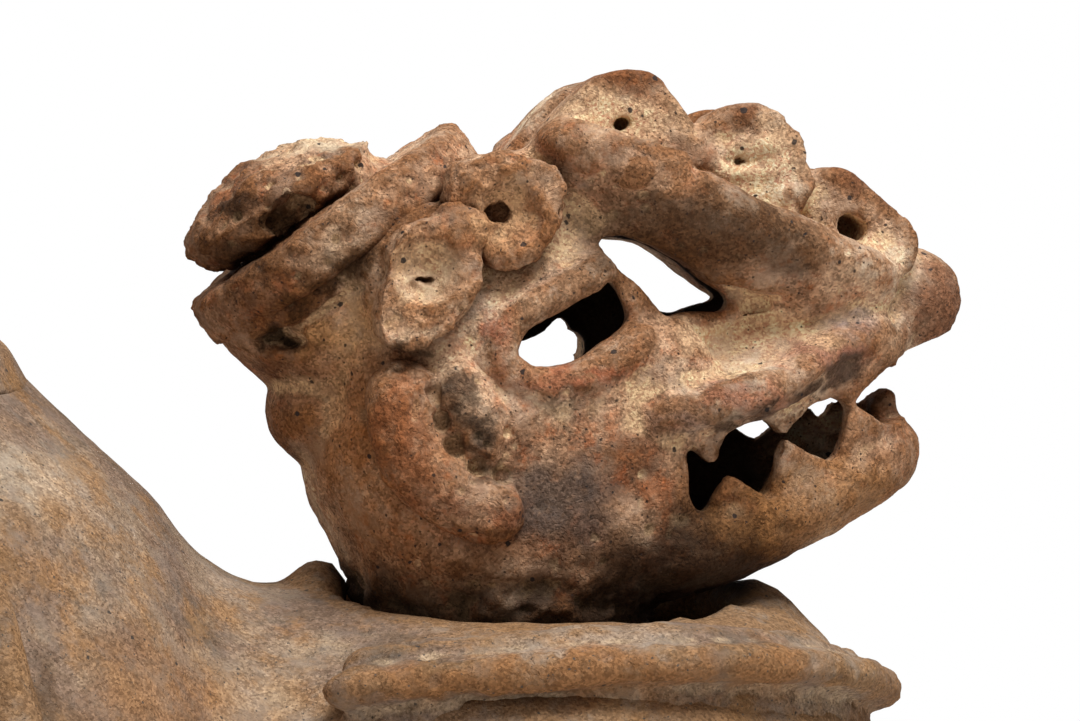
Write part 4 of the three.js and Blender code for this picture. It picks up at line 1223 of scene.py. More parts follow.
@dataclass
class UrnBody:
    """The jar and the chest it grows into, with base, neck and applied rolls."""

    jar_x: float = -75
    wall: float = 9
    base_thickness: float = 10
    base_radius: float = 92
    belly: Pair = (148, 125)
    belly_foot: float = 40
    belly_turn: float = 180
    shoulder: Pair = (107, 228)
    mouth: Pair = (60, 271)
    neck_waist: float = 50
    neck_height: float = 38
    neck_bore: float = 46
    neck_root: float = 5
    lip_radius: float = 62
    lip_height: float = 11
    ring_half_width: float = 13
    ring_height: float = 3.5
    ring_root: float = 3
    chest_x: float = 122
    chest_base: float = 72
    chest: Pair = (96, 118)
    chest_foot: float = 42
    chest_turn: float = 173
    chest_edge: Pair = (76, 192)
    chest_top: Pair = (42, 204)
    chest_side_share: float = 1.05
    chest_side_drop: float = 5.5
    chest_front_rise: float = 3
    waist_blend: float = 28
    heart: Triple = (33.5, 0, 118)
    keel: Triple = (40, 0, 84)
    keel_half: Triple = (105, 94, 100)
    socket_x: float = 127
    socket_half: Pair = (53, 44)
    collar: Triples = (
        (66, -74, 184),
        (84, -77, 187),
        (119, -79.5, 189.5),
        (151, -78, 190.5),
        (180, -63, 187.5),
        (201, -37, 181.5),
        (212, 0, 175),
    )
    collar_wide: float = 8.5
    collar_rolls: Triples = ((0, 1.2, 4.8), (9, 5, 4.5), (7, -10, 8))
    strap_turn: float = 62
    strap_z: Pair = (243, 95)
    strap_gap: float = 8
    strap_radius: float = 6.5
    finish: bpy.types.Material | None = None
    outline_steps: int = 16
    skin_reach: float = 600.0
    skin_halvings: int = 26
    wall_faces: tuple[int, int] = (152, 104)
    base_faces: tuple[int, int] = (128, 96)
    base_joint: float = 0.4
    socket_snap: float = 1.3
    turned_steps: int = 128
    neck_steps: int = 6
    lip_edge: float = 1.5
    ring_steps: int = 12
    ring_sink: float = 0.3
    collar_steps: int = 8
    collar_squareness: float = 2.6
    strap_spans: int = 9
    strap_steps: int = 4
    strap_search: Triple = (40, 200, 0.5)
    waves: tuple[Unevenness, ...] = (Unevenness(55, 1.6, 2), Unevenness(14, 0.5, 3))
    neck_waves: tuple[Unevenness, ...] = (Unevenness(40, 0.7, 2), Unevenness(9, 0.25, 2))
    ring_waves: tuple[Unevenness, ...] = (Unevenness(30, 0.5, 2), Unevenness(7, 0.25, 2))
    collar_work: Handwork = Handwork(
        1.2, 5, (Unevenness(22, 1.0, 2), Unevenness(6, 0.7, 3)), (Pitting(7, 0.3, 0.3, 1.2),)
    )
    strap_work: Handwork = Handwork(1.4, 4, (Unevenness(20, 0.9, 2), Unevenness(6, 0.3, 3)))
    rim_dabs: tuple[Dab, ...] = (
        Dab((77, 4, 205), (14, 22, 24), 8),
        Dab((172, 32, 203), (26, 22, 20), 3),
        Dab((182, 0, 204), (20, 34, 20), 4),
    )

    def outlines(self) -> tuple[np.ndarray, np.ndarray]:
        """Gives the outlines of jar and chest as radius and height.

        Returns:
            The jar's points and the chest's.
        """
        steps = self.outline_steps
        low = -self.base_thickness
        jar = [(0, low), (self.base_radius, low), (self.base_radius, 0)]
        jar += bend((jar[-1], (self.belly[0], self.belly_foot), self.belly), steps)
        jar += bend((self.belly, (self.belly[0], self.belly_turn), self.shoulder), steps)
        jar += [self.mouth, (0, self.mouth[0] + self.mouth[1])]
        chest = [(0, low), (self.chest_base, low), (self.chest_base, 0)]
        chest += bend((chest[-1], (self.chest[0], self.chest_foot), self.chest), steps)
        chest += bend((self.chest, (self.chest[0], self.chest_turn), self.chest_edge), steps)
        brink = ((self.chest_edge[0] + self.chest_top[0]) / 2, self.chest_top[1])
        chest += bend((self.chest_edge, brink, self.chest_top), steps)
        chest += [(0, self.chest_top[1])]
        return np.array(jar, float), np.array(chest, float)

    @staticmethod
    def from_outline(outline: np.ndarray, reach: np.ndarray, height: np.ndarray) -> np.ndarray:
        """Gives distances from an outline, less than nothing inside it.

        Args:
            outline: Its points as radius and height.
            reach: Radius of each asked place.
            height: Height of each asked place.

        Returns:
            One distance for each place.
        """
        start, edge = outline[:-1], np.diff(outline, axis=0)
        to_r, to_z = reach[:, None] - start[:, 0], height[:, None] - start[:, 1]
        along = np.clip((to_r * edge[:, 0] + to_z * edge[:, 1]) / (edge**2).sum(1), 0, 1)
        nearest = np.hypot(to_r - along * edge[:, 0], to_z - along * edge[:, 1]).min(1)
        rise = np.where(edge[:, 1] == 0, NEARLY_LEVEL, edge[:, 1])
        crosses = (start[:, 1] > height[:, None]) != (outline[1:, 1] > height[:, None])
        inside = (crosses & (to_r < to_z / rise * edge[:, 0])).sum(1) % 2 == 1
        return np.where(inside, -nearest, nearest)

    def melted(self, one: np.ndarray, other: np.ndarray) -> np.ndarray:
        """Melts two distances, so that the forms flow into each other."""
        melt = np.clip(self.waist_blend - np.abs(one - other), 0, None) / self.waist_blend
        return np.minimum(one, other) - melt * melt * self.waist_blend / 4

    def away(self, places: np.ndarray) -> np.ndarray:
        """Gives distances from the outside of the body.

        Args:
            places: One row of x, y and z for each place.

        Returns:
            One distance for each place.
        """
        jar_line, chest_line = self.outlines()
        x, y, z = places.T
        jar = self.from_outline(jar_line, np.hypot(x - self.jar_x, y), z)
        sideways = np.clip(np.abs(y) / self.socket_half[1], 0, 1)
        ahead = np.clip((x - self.socket_x) / self.socket_half[0], 0, 1)
        lift = self.chest_front_rise * ahead - self.chest_side_drop * sideways**2
        reach = np.hypot(x - self.chest_x, y / self.chest_side_share)
        chest = self.from_outline(chest_line, reach, z - lift)
        keel = (np.linalg.norm((places - self.keel) / self.keel_half, axis=1) - 1) * self.keel_half[1]
        return self.melted(self.melted(jar, chest), keel)

    def skin(self, around: int, rings: int) -> bmesh.types.BMesh:
        """Pushes a ball's points out to the outside of the body.

        Args:
            around: Faces round the ball.
            rings: Faces from pole to pole.

        Returns:
            The closed skin.
        """
        bm = bmesh.new()
        bmesh.ops.create_uvsphere(bm, u_segments=around, v_segments=rings, radius=1)
        ways = np.array([vert.co for vert in bm.verts])
        near, far = np.zeros(len(ways)), np.full(len(ways), self.skin_reach)
        for _ in range(self.skin_halvings):
            middle = (near + far) / 2
            inside = self.away(self.heart + ways * middle[:, None]) < 0
            near, far = np.where(inside, middle, near), np.where(inside, far, middle)
        for vert, place in zip(bm.verts, self.heart + ways * near[:, None]):
            vert.co = place
        return bm

    @staticmethod
    def slice_off(bm: bmesh.types.BMesh, top: float, bottom: float) -> None:
        """Cuts a skin off level at its top and its bottom.

        Args:
            bm: The skin.
            top: The height above which it goes.
            bottom: The height below which it goes.
        """
        for height, way in ((top, 1), (bottom, -1)):
            geom = bm.verts[:] + bm.edges[:] + bm.faces[:]
            plane = {"plane_co": (0, 0, height), "plane_no": (0, 0, way)}
            bmesh.ops.bisect_plane(bm, geom=geom, clear_outer=True, **plane)

    def in_socket(self, place: Vector) -> float:
        """Tells how far out a place is from the socket's middle, 1 on its edge."""
        return math.hypot((place.x - self.socket_x) / self.socket_half[0], place.y / self.socket_half[1])

    def build_wall(self) -> bpy.types.Object:
        """Builds the wall of jar and chest, open at base, mouth and socket.

        Returns:
            The piece.
        """
        clay = Clay()
        clay.bm = self.skin(*self.wall_faces)
        bm = clay.bm
        self.slice_off(bm, self.mouth[1], self.base_thickness)
        top = [f for f in bm.faces if f.calc_center_median().z > self.chest[1]]
        hole = [f for f in top if any(self.in_socket(v.co) < 1 for v in f.verts)]
        bmesh.ops.delete(bm, geom=hole, context="FACES")
        for vert in bm.verts:
            out = self.in_socket(vert.co)
            if vert.is_boundary and out < self.socket_snap and vert.co.z > self.chest[1]:
                vert.co.x = self.socket_x + (vert.co.x - self.socket_x) / out
                vert.co.y /= out
        wall = ("SOLIDIFY", {"thickness": self.wall, "offset": -1, "use_even_offset": True})
        mesh = clay.worked(wall, rounder(1))
        modelled(mesh, self.waves, self.rim_dabs)
        return as_piece(mesh, "urn_wall", Carrier.URN, ["urn_body"], self.finish)

    def build_base(self) -> bpy.types.Object:
        """Builds the flat disc that the urn stands on.

        Returns:
            The piece.
        """
        clay = Clay()
        clay.bm = self.skin(*self.base_faces)
        bm = clay.bm
        self.slice_off(bm, self.base_thickness - self.base_joint, 0)
        bmesh.ops.holes_fill(bm, edges=[e for e in bm.edges if e.is_boundary], sides=0)
        bmesh.ops.recalc_face_normals(bm, faces=bm.faces[:])
        return as_piece(clay.worked(), "base", Carrier.URN, ["base_disc"], self.finish)

    def turned(self, outline: Outline) -> Clay:
        """Turns a closed outline of radius and height about the jar's axis.

        Args:
            outline: Its points.

        Returns:
            The turned ring.
        """
        clay = Clay()
        verts = [clay.bm.verts.new((self.jar_x + r, 0, z)) for r, z in outline]
        edges = [clay.bm.edges.new((a, b)) for a, b in zip(verts, verts[1:] + verts[:1])]
        bmesh.ops.spin(
            clay.bm,
            geom=verts + edges,
            cent=(self.jar_x, 0, 0),
            axis=(0, 0, 1),
            angle=math.tau,
            steps=self.turned_steps,
            use_merge=True,
        )
        bmesh.ops.recalc_face_normals(clay.bm, faces=clay.bm.faces[:])
        return clay

    def build_neck(self) -> bpy.types.Object:
        """Builds the jar's neck with its flat lip.

        Returns:
            The piece.
        """
        foot, top = self.mouth[1] - self.neck_root, self.mouth[1] + self.neck_height
        outline = [(self.neck_bore, foot), (self.mouth[0], foot)]
        waist = (self.neck_waist, (foot + top) / 2)
        under_lip = (self.lip_radius, top - self.lip_height)
        outline += bend(((self.mouth[0], foot), waist, under_lip), self.neck_steps)
        edge = self.lip_edge
        outline += [(self.lip_radius, top - edge), (self.lip_radius - edge, top)]
        outline += [(self.neck_bore + edge, top), (self.neck_bore, top - edge)]
        mesh = modelled(self.turned(outline).worked(rounder(1)), self.neck_waves)
        return as_piece(mesh, "jar_neck_clay", Carrier.URN, ["jar_neck"], self.finish)

    def build_ring(self) -> bpy.types.Object:
        """Builds the moulding round the shoulder.

        Returns:
            The piece.
        """
        slope = math.atan2(self.mouth[1] - self.shoulder[1], self.shoulder[0] - self.mouth[0])
        along = Vector((math.cos(slope), -math.sin(slope)))
        out = Vector((math.sin(slope), math.cos(slope)))
        middle = Vector(self.mouth) + along * self.ring_half_width
        outline = []
        for i in range(self.ring_steps + 1):
            share = 2 * i / self.ring_steps - 1
            swell = self.ring_height * (1 + math.cos(math.pi * share)) / 2 - self.ring_sink
            point = middle - along * self.ring_half_width * share + out * swell
            outline.append((point.x, point.y))
        for share in (-1, 1):
            point = middle + along * self.ring_half_width * share - out * self.ring_root
            outline.append((point.x, point.y))
        mesh = modelled(self.turned(outline).worked(rounder(1)), self.ring_waves)
        return as_piece(mesh, "shoulder_moulding", Carrier.URN, ["shoulder_ring"], self.finish)

    def build_collar(self) -> bpy.types.Object:
        """Builds the roll round the chest below the socket.

        Returns:
            The piece.
        """
        half = [Vector(p) for p in self.collar]
        edge = half + [Vector((p.x, -p.y, p.z)) for p in reversed(half[:-1])]
        middle = Vector((self.chest_x, 0, 0))
        clay = Clay()
        for inset, rise, tall in self.collar_rolls:
            points = []
            for point in edge:
                inwards = (middle - point) * Vector((1, 1, 0))
                points.append(point + inwards.normalized() * inset + UP * rise)
            rings = roll_rings(points, self.collar_wide, tall, self.collar_steps)
            clay.loft(rings, self.collar_squareness)
        mesh = self.collar_work.wear(self.collar_work.knead(clay))
        return as_piece(mesh, "chest_roll", Carrier.URN, ["chest_collar"], self.finish)

    def build_strap(self, side: Side) -> bpy.types.Object:
        """Builds the double strap down one flank of the jar.

        Args:
            side: Which flank.

        Returns:
            The piece.
        """
        turn = math.radians(self.strap_turn)
        way = Vector((math.cos(turn), side.value * math.sin(turn), 0))
        across = UP.cross(way)
        top, bottom = self.strap_z
        reaches = np.arange(*self.strap_search)
        clay = Clay()
        for shift in (-self.strap_gap, self.strap_gap):
            points = []
            for step in range(self.strap_spans + 1):
                z = top + (bottom - top) * step / self.strap_spans
                start = Vector((self.jar_x, 0, z)) + across * shift
                places = np.array([start + way * r for r in reaches])
                points.append(start + way * reaches[np.argmax(self.away(places) > 0)])
            clay.loft(roll_rings(points, self.strap_radius, self.strap_radius, self.strap_steps))
        mesh = self.strap_work.wear(self.strap_work.knead(clay, rounder(1)))
        node = f"flank_strap_{side.label}"
        return as_piece(mesh, f"flank_band_{side.label}", Carrier.URN, [node], self.finish)

    def build(self) -> None:
        """Builds and dresses every piece of the urn."""
        self.finish = JAR_CLAY.build()
        self.build_wall()
        self.build_base()
        self.build_neck()
        self.build_ring()
        self.build_collar()
        for side in Side:
            self.build_strap(side)
        for name in ("socket_sleeve", "seat_ledge"):
            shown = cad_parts[name]
            shown.data.materials.clear()
            shown.data.materials.append(self.finish)


@dataclass(frozen=True)
class Lobe:
    """A pellet of clay pressed on, as a ball with its own half sizes.

    Attributes:
        place: Its x, side reach and z.
        half: Half its length, thickness and height.
        tilt: How it is turned, in degrees.
        fullness: 1 for a round face, less for a flatter one.
    """

    place: Triple
    half: Triple
    tilt: float = 0.0
    fullness: float = 1.0

    def press_on(self, clay: Clay, side: Side) -> None:
        """Adds the pellet to a lump.

        Args:
            clay: The lump.
            side: Which side it is pressed on.
        """
        x, reach, z = self.place
        clay.ball(Vector((x, side.value * reach, z)), self.half, self.tilt, self.fullness)


@dataclass
class Headdress:
    """Two tilted plates stacked on the back of the head, the upper one broken."""

    tilt: float = -35.5
    brim: Pair = (-49, 91.5)
    brim_half: Pair = (40.5, 36)
    brim_thickness: float = 13.5
    crown: Pair = (-61.2, 98.4)
    crown_half: Pair = (27.5, 25)
    crown_thickness: float = 9.5
    crown_dome: Triple = (24, 22, 10.5)
    dome_shift: Pair = (-2.5, 2.7)
    crown_turn: float = 2.2
    core_half: Pair = (20, 17)
    core_shift: float = 6
    core_shares: tuple[float, ...] = (0, 0.5, 0.8)
    around: int = 72
    cavity: Lobe = Lobe((-62, 24, 94.5), (8.5, 7, 5), -35)
    crown_break: Dab = Dab((-42, 0, 118), (18, 40, 12), -2.4)
    brim_levels: Levels = ((-1, 0.92), (-0.8, 0.985), (0, 1), (0.8, 0.985), (1, 0.92))
    crown_levels: Levels = ((-1, 0.8), (-0.7, 0.86), (0, 0.95), (0.6, 1), (1, 0.92))
    cavity_waves: tuple[Unevenness, ...] = (Unevenness(6, 2, 2),)
    brim_work: Handwork = Handwork(
        1.0, 3, (Unevenness(20, 1.0, 2), Unevenness(4, 0.6, 4)), (Pitting(6, 0.35, 0.3, 1.2),)
    )
    crown_work: Handwork = Handwork(
        0.9, 4, (Unevenness(13, 2.0, 2), Unevenness(4, 1.2, 4)), (Pitting(5, 0.5, 0.35, 1.6),)
    )

    def along(self) -> Vector:
        """The way up the plates, towards the front."""
        turn = math.radians(self.tilt)
        return Vector((math.cos(turn), 0, -math.sin(turn)))

    def way(self) -> Vector:
        """The way straight up off the plates."""
        turn = math.radians(self.tilt)
        return Vector((math.sin(turn), 0, math.cos(turn)))

    def plate(
        self, clay: Clay, middle: Vector, half: Pair, thickness: float, levels: Levels
    ) -> None:
        """Adds a plate with a shaped edge to a lump.

        Args:
            clay: The lump.
            middle: The plate's middle.
            half: Its half length and half width.
            thickness: Its thickness.
            levels: Shares of its thickness and of its size at each step up its edge.
        """
        rings = []
        for level, share in levels:
            centre = middle + self.way() * level * thickness / 2
            rings.append(ring_at(centre, self.along() * half[0] * share, Vector((0, half[1] * share, 0))))
        clay.loft(rings, around=self.around)

    def build(self, finish: bpy.types.Material) -> None:
        """Builds both plates.

        Args:
            finish: Their material.
        """
        middle = Vector((self.brim[0], 0, self.brim[1]))
        clay = Clay()
        self.plate(clay, middle, self.brim_half, self.brim_thickness, self.brim_levels)
        mesh = self.brim_work.wear(self.brim_work.knead(clay))
        as_piece(mesh, "brim", Carrier.HEAD, ["headdress_brim"], finish)
        clay = Clay()
        top = Vector((self.crown[0], 0, self.crown[1]))
        self.plate(clay, top, self.crown_half, self.crown_thickness, self.crown_levels)
        on, up = self.dome_shift
        clay.ball(top + self.along() * on + self.way() * up, self.crown_dome, self.tilt)
        length, width = self.core_half
        core = [top + (middle - top) * share + self.along() * self.core_shift for share in self.core_shares]
        clay.loft([ring_at(c, self.along() * length, Vector((0, width, 0))) for c in core])
        turn = Matrix.Translation(top) @ Matrix.Rotation(math.radians(self.crown_turn), 4, "Y")
        bmesh.ops.transform(clay.bm, matrix=turn @ Matrix.Translation(-top), verts=clay.bm.verts)
        mesh = self.crown_work.knead(clay)
        hollow = Clay()
        self.cavity.press_on(hollow, Side.RIGHT)
        mesh = carved(mesh, modelled(hollow.worked(), self.cavity_waves))
        self.crown_work.wear(mesh, (self.crown_break,))
        as_piece(mesh, "crown", Carrier.HEAD, ["headdress_crown"], finish)


@dataclass(frozen=True)
class RuffPiece:
    """A pad of the ruff behind the eye, with its raised rim, dish and poked hole.

    Attributes:
        node: The CAD node's name without its side.
        outline: Points round the pad as x and z.
        reach: How far its back and its face stand from the middle of the head.
        dish: Place of the dished middle as x and z.
        dish_reach: Half length and half height of the dish.
        poke: Half length, depth and half height of the hole.
        poke_place: Place of the hole as x and z.
        lobe: A pellet pressed on beside it.
        dish_depth: How deep the dish is.
        work: How the pad is kneaded, wiped and worn.
    """

    node: str
    outline: Outline
    reach: Pair
    dish: Pair
    dish_reach: Pair
    poke: Triple
    poke_place: Pair
    lobe: Lobe
    dish_depth: float = 4.4
    work: Handwork = Handwork(
        0.75, 18, (Unevenness(12, 1.7, 2), Unevenness(3.4, 0.9, 4)), (Pitting(6, 0.35, 0.3, 1.1),)
    )

    def build(self, side: Side, finish: bpy.types.Material) -> None:
        """Builds the pad on one side.

        Args:
            side: Which side.
            finish: Its material.
        """
        out = side.value
        clay = Clay().block(rounded(self.outline), out * self.reach[0], out * self.reach[1])
        self.lobe.press_on(clay, side)
        mesh = self.work.wear(self.work.knead(clay))
        middle = sum(self.reach) / 2
        for vert in mesh.vertices:
            if vert.co.y * out > middle:
                along, up = vert.co.x - self.dish[0], vert.co.z - self.dish[1]
                away = math.hypot(along / self.dish_reach[0], up / self.dish_reach[1])
                vert.co.y -= out * self.dish_depth * max(0.0, 1 - away * away)
        mesh.update()
        x, z = self.poke_place
        poke = Clay().ball(Vector((x, out * self.reach[1], z)), self.poke).worked()
        mesh = carved(mesh, modelled(poke, POKE_WAVES))
        label = f"{self.node}_{side.label}"
        as_piece(mesh, f"clay_{label}", Carrier.HEAD, [label], finish)


@dataclass
class AnimalHead:
    """The hollow head: skull, muzzle, jaw, neck, nape and cheeks as one skin, with what is luted on."""

    wall: float = 7
    # Painted shade on the inside of the hollow head: its strength, the depth over which it fades from the
    # lining, where it fades towards the front, and how little is left there
    inner_shade: float = 0.95
    soot_fade: float = 2.2
    soot_front: Pair = (60, 80)
    soot_least: float = 0.2
    skull: Rows = (
        (-56, 60, 12, 13),
        (-46, 59, 29, 30),
        (-28, 57, 38, 38),
        (-6, 58.5, 41, 43),
        (16, 67, 35, 46),
        (38, 74, 26.5, 41),
        (58, 77, 22.5, 34),
        (76, 74, 20, 25),
        (90, 71, 17, 15),
        (98, 70, 11, 8),
    )
    muzzle: Rows = (
        (18, 42, 38, 18),
        (38, 48, 36, 16),
        (58, 55, 32, 16),
        (78, 61.5, 26, 13),
        (90, 66, 20, 10),
        (98, 69, 11, 7),
    )
    jaw: Rows = (
        (8, 20, 36, 20),
        (30, 15.5, 35, 15.5),
        (44, 17, 33, 14.5),
        (56, 21, 31, 13.5),
        (70, 27, 27, 13.5),
        (86, 33.5, 21, 12),
        (95, 36, 13, 8.5),
        (99, 37, 7, 5),
    )
    gape: Rows = (
        (20, 30, 37, 20),
        (38, 33, 35, 18),
        (58, 39, 31, 18),
        (76, 45.5, 25.5, 16),
        (88, 50, 19.5, 14),
        (95, 52, 11, 10),
    )
    neck: Rows = ((-26, -7, 33, 33), (0, -7, 36, 36), (14, -4, 45, 41), (38, -4, 54, 41), (58.5, -4, 45, 41))
    nape: Triples = (
        (0, 0.94, 0.84),
        (0.25, 0.93, 0.82),
        (0.8, 0.8, 0.76),
        (1.6, 0.62, 0.62),
    )
    cheek: Triple = (12, 0, 38)
    cheek_half: Triple = (36, 41, 28)
    squareness: float = 2.5
    right_mouth: Outline = (
        (32.4, 37.5),
        (32.9, 39.4),
        (35.7, 38.2),
        (39.6, 34.8),
        (42.8, 42.8),
        (47.8, 44.8),
        (54, 46),
        (58, 42),
        (63.1, 47.2),
        (65.8, 49.7),
        (71.7, 51.4),
        (76.5, 49),
        (81.1, 54.3),
        (90, 60),
        (115, 71),
        (115, 53),
        (91.5, 44.8),
        (86.4, 44.2),
        (83.1, 45),
        (76.2, 49.5),
        (75, 44.3),
        (73.7, 37),
        (71.1, 34.6),
        (66.6, 35.9),
        (58, 40.6),
        (57, 37.2),
        (55.3, 27.7),
        (52.6, 27),
        (43.1, 32.8),
        (41.1, 29),
        (38.1, 23.2),
        (35.7, 23.7),
        (33.2, 26.6),
    )
    left_mouth: Outline = (
        (34, 35),
        (38, 40),
        (46, 43.5),
        (57, 47.5),
        (66, 50),
        (72, 52),
        (81, 55),
        (90, 60),
        (93, 58),
        (95.5, 57.5),
        (97, 61),
        (115, 71),
        (115, 45),
        (98, 45),
        (95.5, 51),
        (93.7, 53),
        (91, 51),
        (88.5, 48.5),
        (85, 50),
        (82, 49),
        (80.3, 45),
        (78.6, 45),
        (76.5, 47.5),
        (72, 46.5),
        (68.8, 43.3),
        (65.6, 39.6),
        (63.5, 38.8),
        (61, 40),
        (58, 42.5),
        (52, 41),
        (46, 37),
        (38, 34),
    )
    left_eye: Outline = (
        (-6, 62),
        (-1, 64.5),
        (3.7, 64.9),
        (9, 67.3),
        (12.8, 71),
        (15, 68.9),
        (15.7, 66.9),
        (18.1, 66.1),
        (18.6, 63.6),
        (17.9, 60.4),
        (16, 56),
        (8, 53.5),
        (0, 54),
        (-6, 57),
    )
    eye: Outline = (
        (-11, 62.5),
        (-8, 67.5),
        (0.5, 72.5),
        (10.5, 78),
        (14, 80),
        (17, 75),
        (18.5, 69.5),
        (10.5, 63),
        (3, 59.5),
        (-5.5, 58.5),
        (-10, 60.5),
    )
    window: Outline = (
        (12.6, 86),
        (12, 90),
        (22, 89.5),
        (29.5, 86),
        (38, 80.5),
        (43, 77.5),
        (45.5, 74.8),
        (43.5, 72.6),
        (38, 72.6),
        (33, 72),
        (28, 71),
        (22, 77.5),
        (14.5, 83.5),
    )
    left_window: Outline = (
        (21.6, 87),
        (21, 91),
        (31, 90.5),
        (38.5, 87),
        (47, 80),
        (53, 75.5),
        (47, 74),
        (37, 72),
        (31, 78.5),
        (23.5, 84.5),
    )
    brow: Triples = (
        (-4, 22, 110),
        (8, 31, 105.5),
        (20, 33, 100.5),
        (32, 32.5, 94.5),
        (46, 30.5, 88),
        (60, 27, 82.5),
        (74, 21, 77.5),
        (87, 12, 73),
    )
    brow_wide: float = 6.5
    brow_tall: float = 14
    brow_lean: float = 38
    brow_squareness: float = 3.4
    lid: Triples = (
        (15, 34, 85),
        (5, 37.5, 80),
        (-3, 39.5, 76),
        (-11, 40, 70.5),
        (-14.5, 40, 63.5),
        (-11.5, 40, 57),
        (-3, 40, 54.5),
        (6, 39.5, 56),
        (15, 38, 60.5),
        (24, 35, 67),
    )
    lid_radius: float = 3.6
    lip: Triples = (
        (16, 31, 46),
        (31, 35, 48.5),
        (45, 35.5, 51.5),
        (56, 33, 54.5),
        (64, 29.5, 59),
        (71, 25, 63),
        (79, 20, 66.5),
        (88, 13.5, 69),
    )
    lip_wide: float = 7
    lip_tall: float = 5.5
    crest: tuple[Outline, ...] = (
        (
            (-6, 106),
            (-5, 112),
            (4, 122.5),
            (11, 129),
            (19, 131.5),
            (26.5, 131),
            (32, 124.5),
            (36, 117),
            (38, 107),
            (15, 101),
        ),
        (
            (37, 106),
            (39, 119),
            (44.5, 122.8),
            (52, 123.3),
            (59.5, 119.3),
            (64.3, 112.3),
            (65.5, 101),
            (56, 91),
        ),
        (
            (66, 96),
            (67, 105.5),
            (72, 108.2),
            (78.7, 107),
            (89, 99),
            (94.3, 94),
            (95.5, 87),
            (86, 77),
        ),
    )
    crest_reach: tuple[Pair, ...] = ((12, 29.5), (9, 26), (4, 19.5))
    pokes: tuple[Lobe, ...] = (
        Lobe((17.5, 30, 117.5), (2.5, 14, 2.1), 20),
        Lobe((23.5, 29.5, 116), (2.8, 3, 1.3), -25),
        Lobe((48.5, 27, 109), (2.4, 14, 1.9), 30),
        Lobe((45, 26, 111.5), (3.2, 3, 1.2), 30),
        Lobe((78, 20, 93), (2.7, 14, 4.2), -35),
        Lobe((-64, 22, 64.9), (6, 7, 2.6), 0),
        Lobe((48, 27, 75.2), (7.5, 5, 3.3), 28),
        Lobe((25.5, 42.5, 97), (3.2, 2.5, 1.4), 20),
        Lobe((61, 34.5, 79.5), (1.8, 2.5, 1.2), 0),
        Lobe((-21.5, 39.5, 64.5), (1.4, 4, 2.6), 0),
    )
    gum: Triples = (
        (37, 41.5, 41.8),
        (45, 41.3, 43.3),
        (55, 40, 46.6),
        (62, 38.3, 50),
        (70, 34.5, 55),
        (80, 28, 59),
    )
    gum_half: Pair = (3.4, 4.5)
    brim_joint: Triples = (
        (-67, 20.5, 65.5),
        (-59, 26.5, 69.5),
        (-51, 29.5, 75.5),
        (-45, 34, 79.5),
    )
    brim_joint_half: Pair = (3, 1.6)
    mounds: tuple[Lobe, ...] = (
        Lobe((-31, 31, 80), (16, 8, 19)),
        Lobe((-10, 27, 95), (17, 9, 17)),
    )
    muzzle_root: Lobe = Lobe((27, 30.5, 56), (14, 8, 15))
    nose: Lobe = Lobe((97, 0, 75.2), (14.4, 16.5, 14))
    knob: Lobe = Lobe((-54.5, 0, 47.5), (11.5, 20, 13))
    ruff: tuple[RuffPiece, ...] = (
        RuffPiece(
            "ruff_lug_low",
            outline=(
                (-39, 91),
                (-42.5, 82),
                (-44.5, 71),
                (-42, 64.5),
                (-34, 64),
                (-25.5, 68.5),
                (-20.5, 77),
                (-20, 86),
                (-29, 94),
            ),
            reach=(22, 46.5),
            dish=(-33, 81.5),
            dish_reach=(8.5, 8.5),
            poke=(2.4, 9, 1.0),
            poke_place=(-33, 79.6),
            lobe=Lobe((-24.5, 40, 91.5), (7, 8, 7.5), 0, 0.7),
        ),
        RuffPiece(
            "ruff_lug_high",
            outline=(
                (-27, 98),
                (-26, 104),
                (-20, 108),
                (-13, 109.5),
                (-5, 108.5),
                (0, 105),
                (1.5, 98),
                (-1, 90),
                (-6.5, 84),
                (-13.5, 81.5),
                (-18.5, 85),
                (-20, 92),
            ),
            reach=(18, 43),
            dish=(-12, 95),
            dish_reach=(8, 8.5),
            poke=(3.1, 16, 2.9),
            poke_place=(-14.6, 95.7),
            lobe=Lobe((-22, 37.5, 102), (6.5, 7, 6.5), -30, 0.7),
        ),
    )
    cheek_roll: Triples = (
        (-36, 38, 61),
        (-37.5, 39, 48),
        (-34.5, 40, 37),
        (-26.5, 41.5, 28.5),
        (-17, 42, 25),
        (-9, 41, 24.5),
    )
    cheek_roll_wide: float = 7.5
    cheek_roll_tall: float = 8.5
    cheek_pads: tuple[Lobe, ...] = (
        Lobe((-21, 40, 47), (8.5, 7, 14.5), -20),
        Lobe((-19, 36.5, 44), (18, 6.5, 21)),
    )
    cheek_cracks: tuple[tuple[Triple, Triple], ...] = (
        ((-35, 43, 50), (2.2, 8, 4.5)),
        ((-31, 43, 53), (3, 8, 3.8)),
        ((-29, 43.5, 46.5), (3, 8, 3.8)),
        ((-26, 43.5, 40.5), (3, 8, 3.6)),
        ((-20.5, 42.5, 35.5), (3.4, 8, 3.2)),
        ((-14, 41.5, 33), (3.6, 8, 3)),
    )
    cheek_crack_depth: float = 2.6
    cheek_work: Handwork = Handwork(
        0.8, 6, (Unevenness(13, 0.9, 2), Unevenness(3.4, 0.5, 4)), (Pitting(6, 0.35, 0.3, 1.2),)
    )
    headdress: Headdress = field(default_factory=Headdress)
    around: int = 64
    run_steps: int = 4
    neck_steps: int = 5
    nape_steps: int = 6
    mouth_overlap: float = 0.2
    window_start: float = 0.5
    cut_reach: float = 70
    bore: Triple = (-7, 0, -26)
    bore_half: Triple = (25, 25, 40)
    outer_work: Handwork = Handwork(1.3, 8)
    lining_work: Handwork = Handwork(2.5, 4)
    cut_work: Handwork = Handwork(1.3, 1, pits=(Pitting(7, 0.25, 0.28, 1.2),))
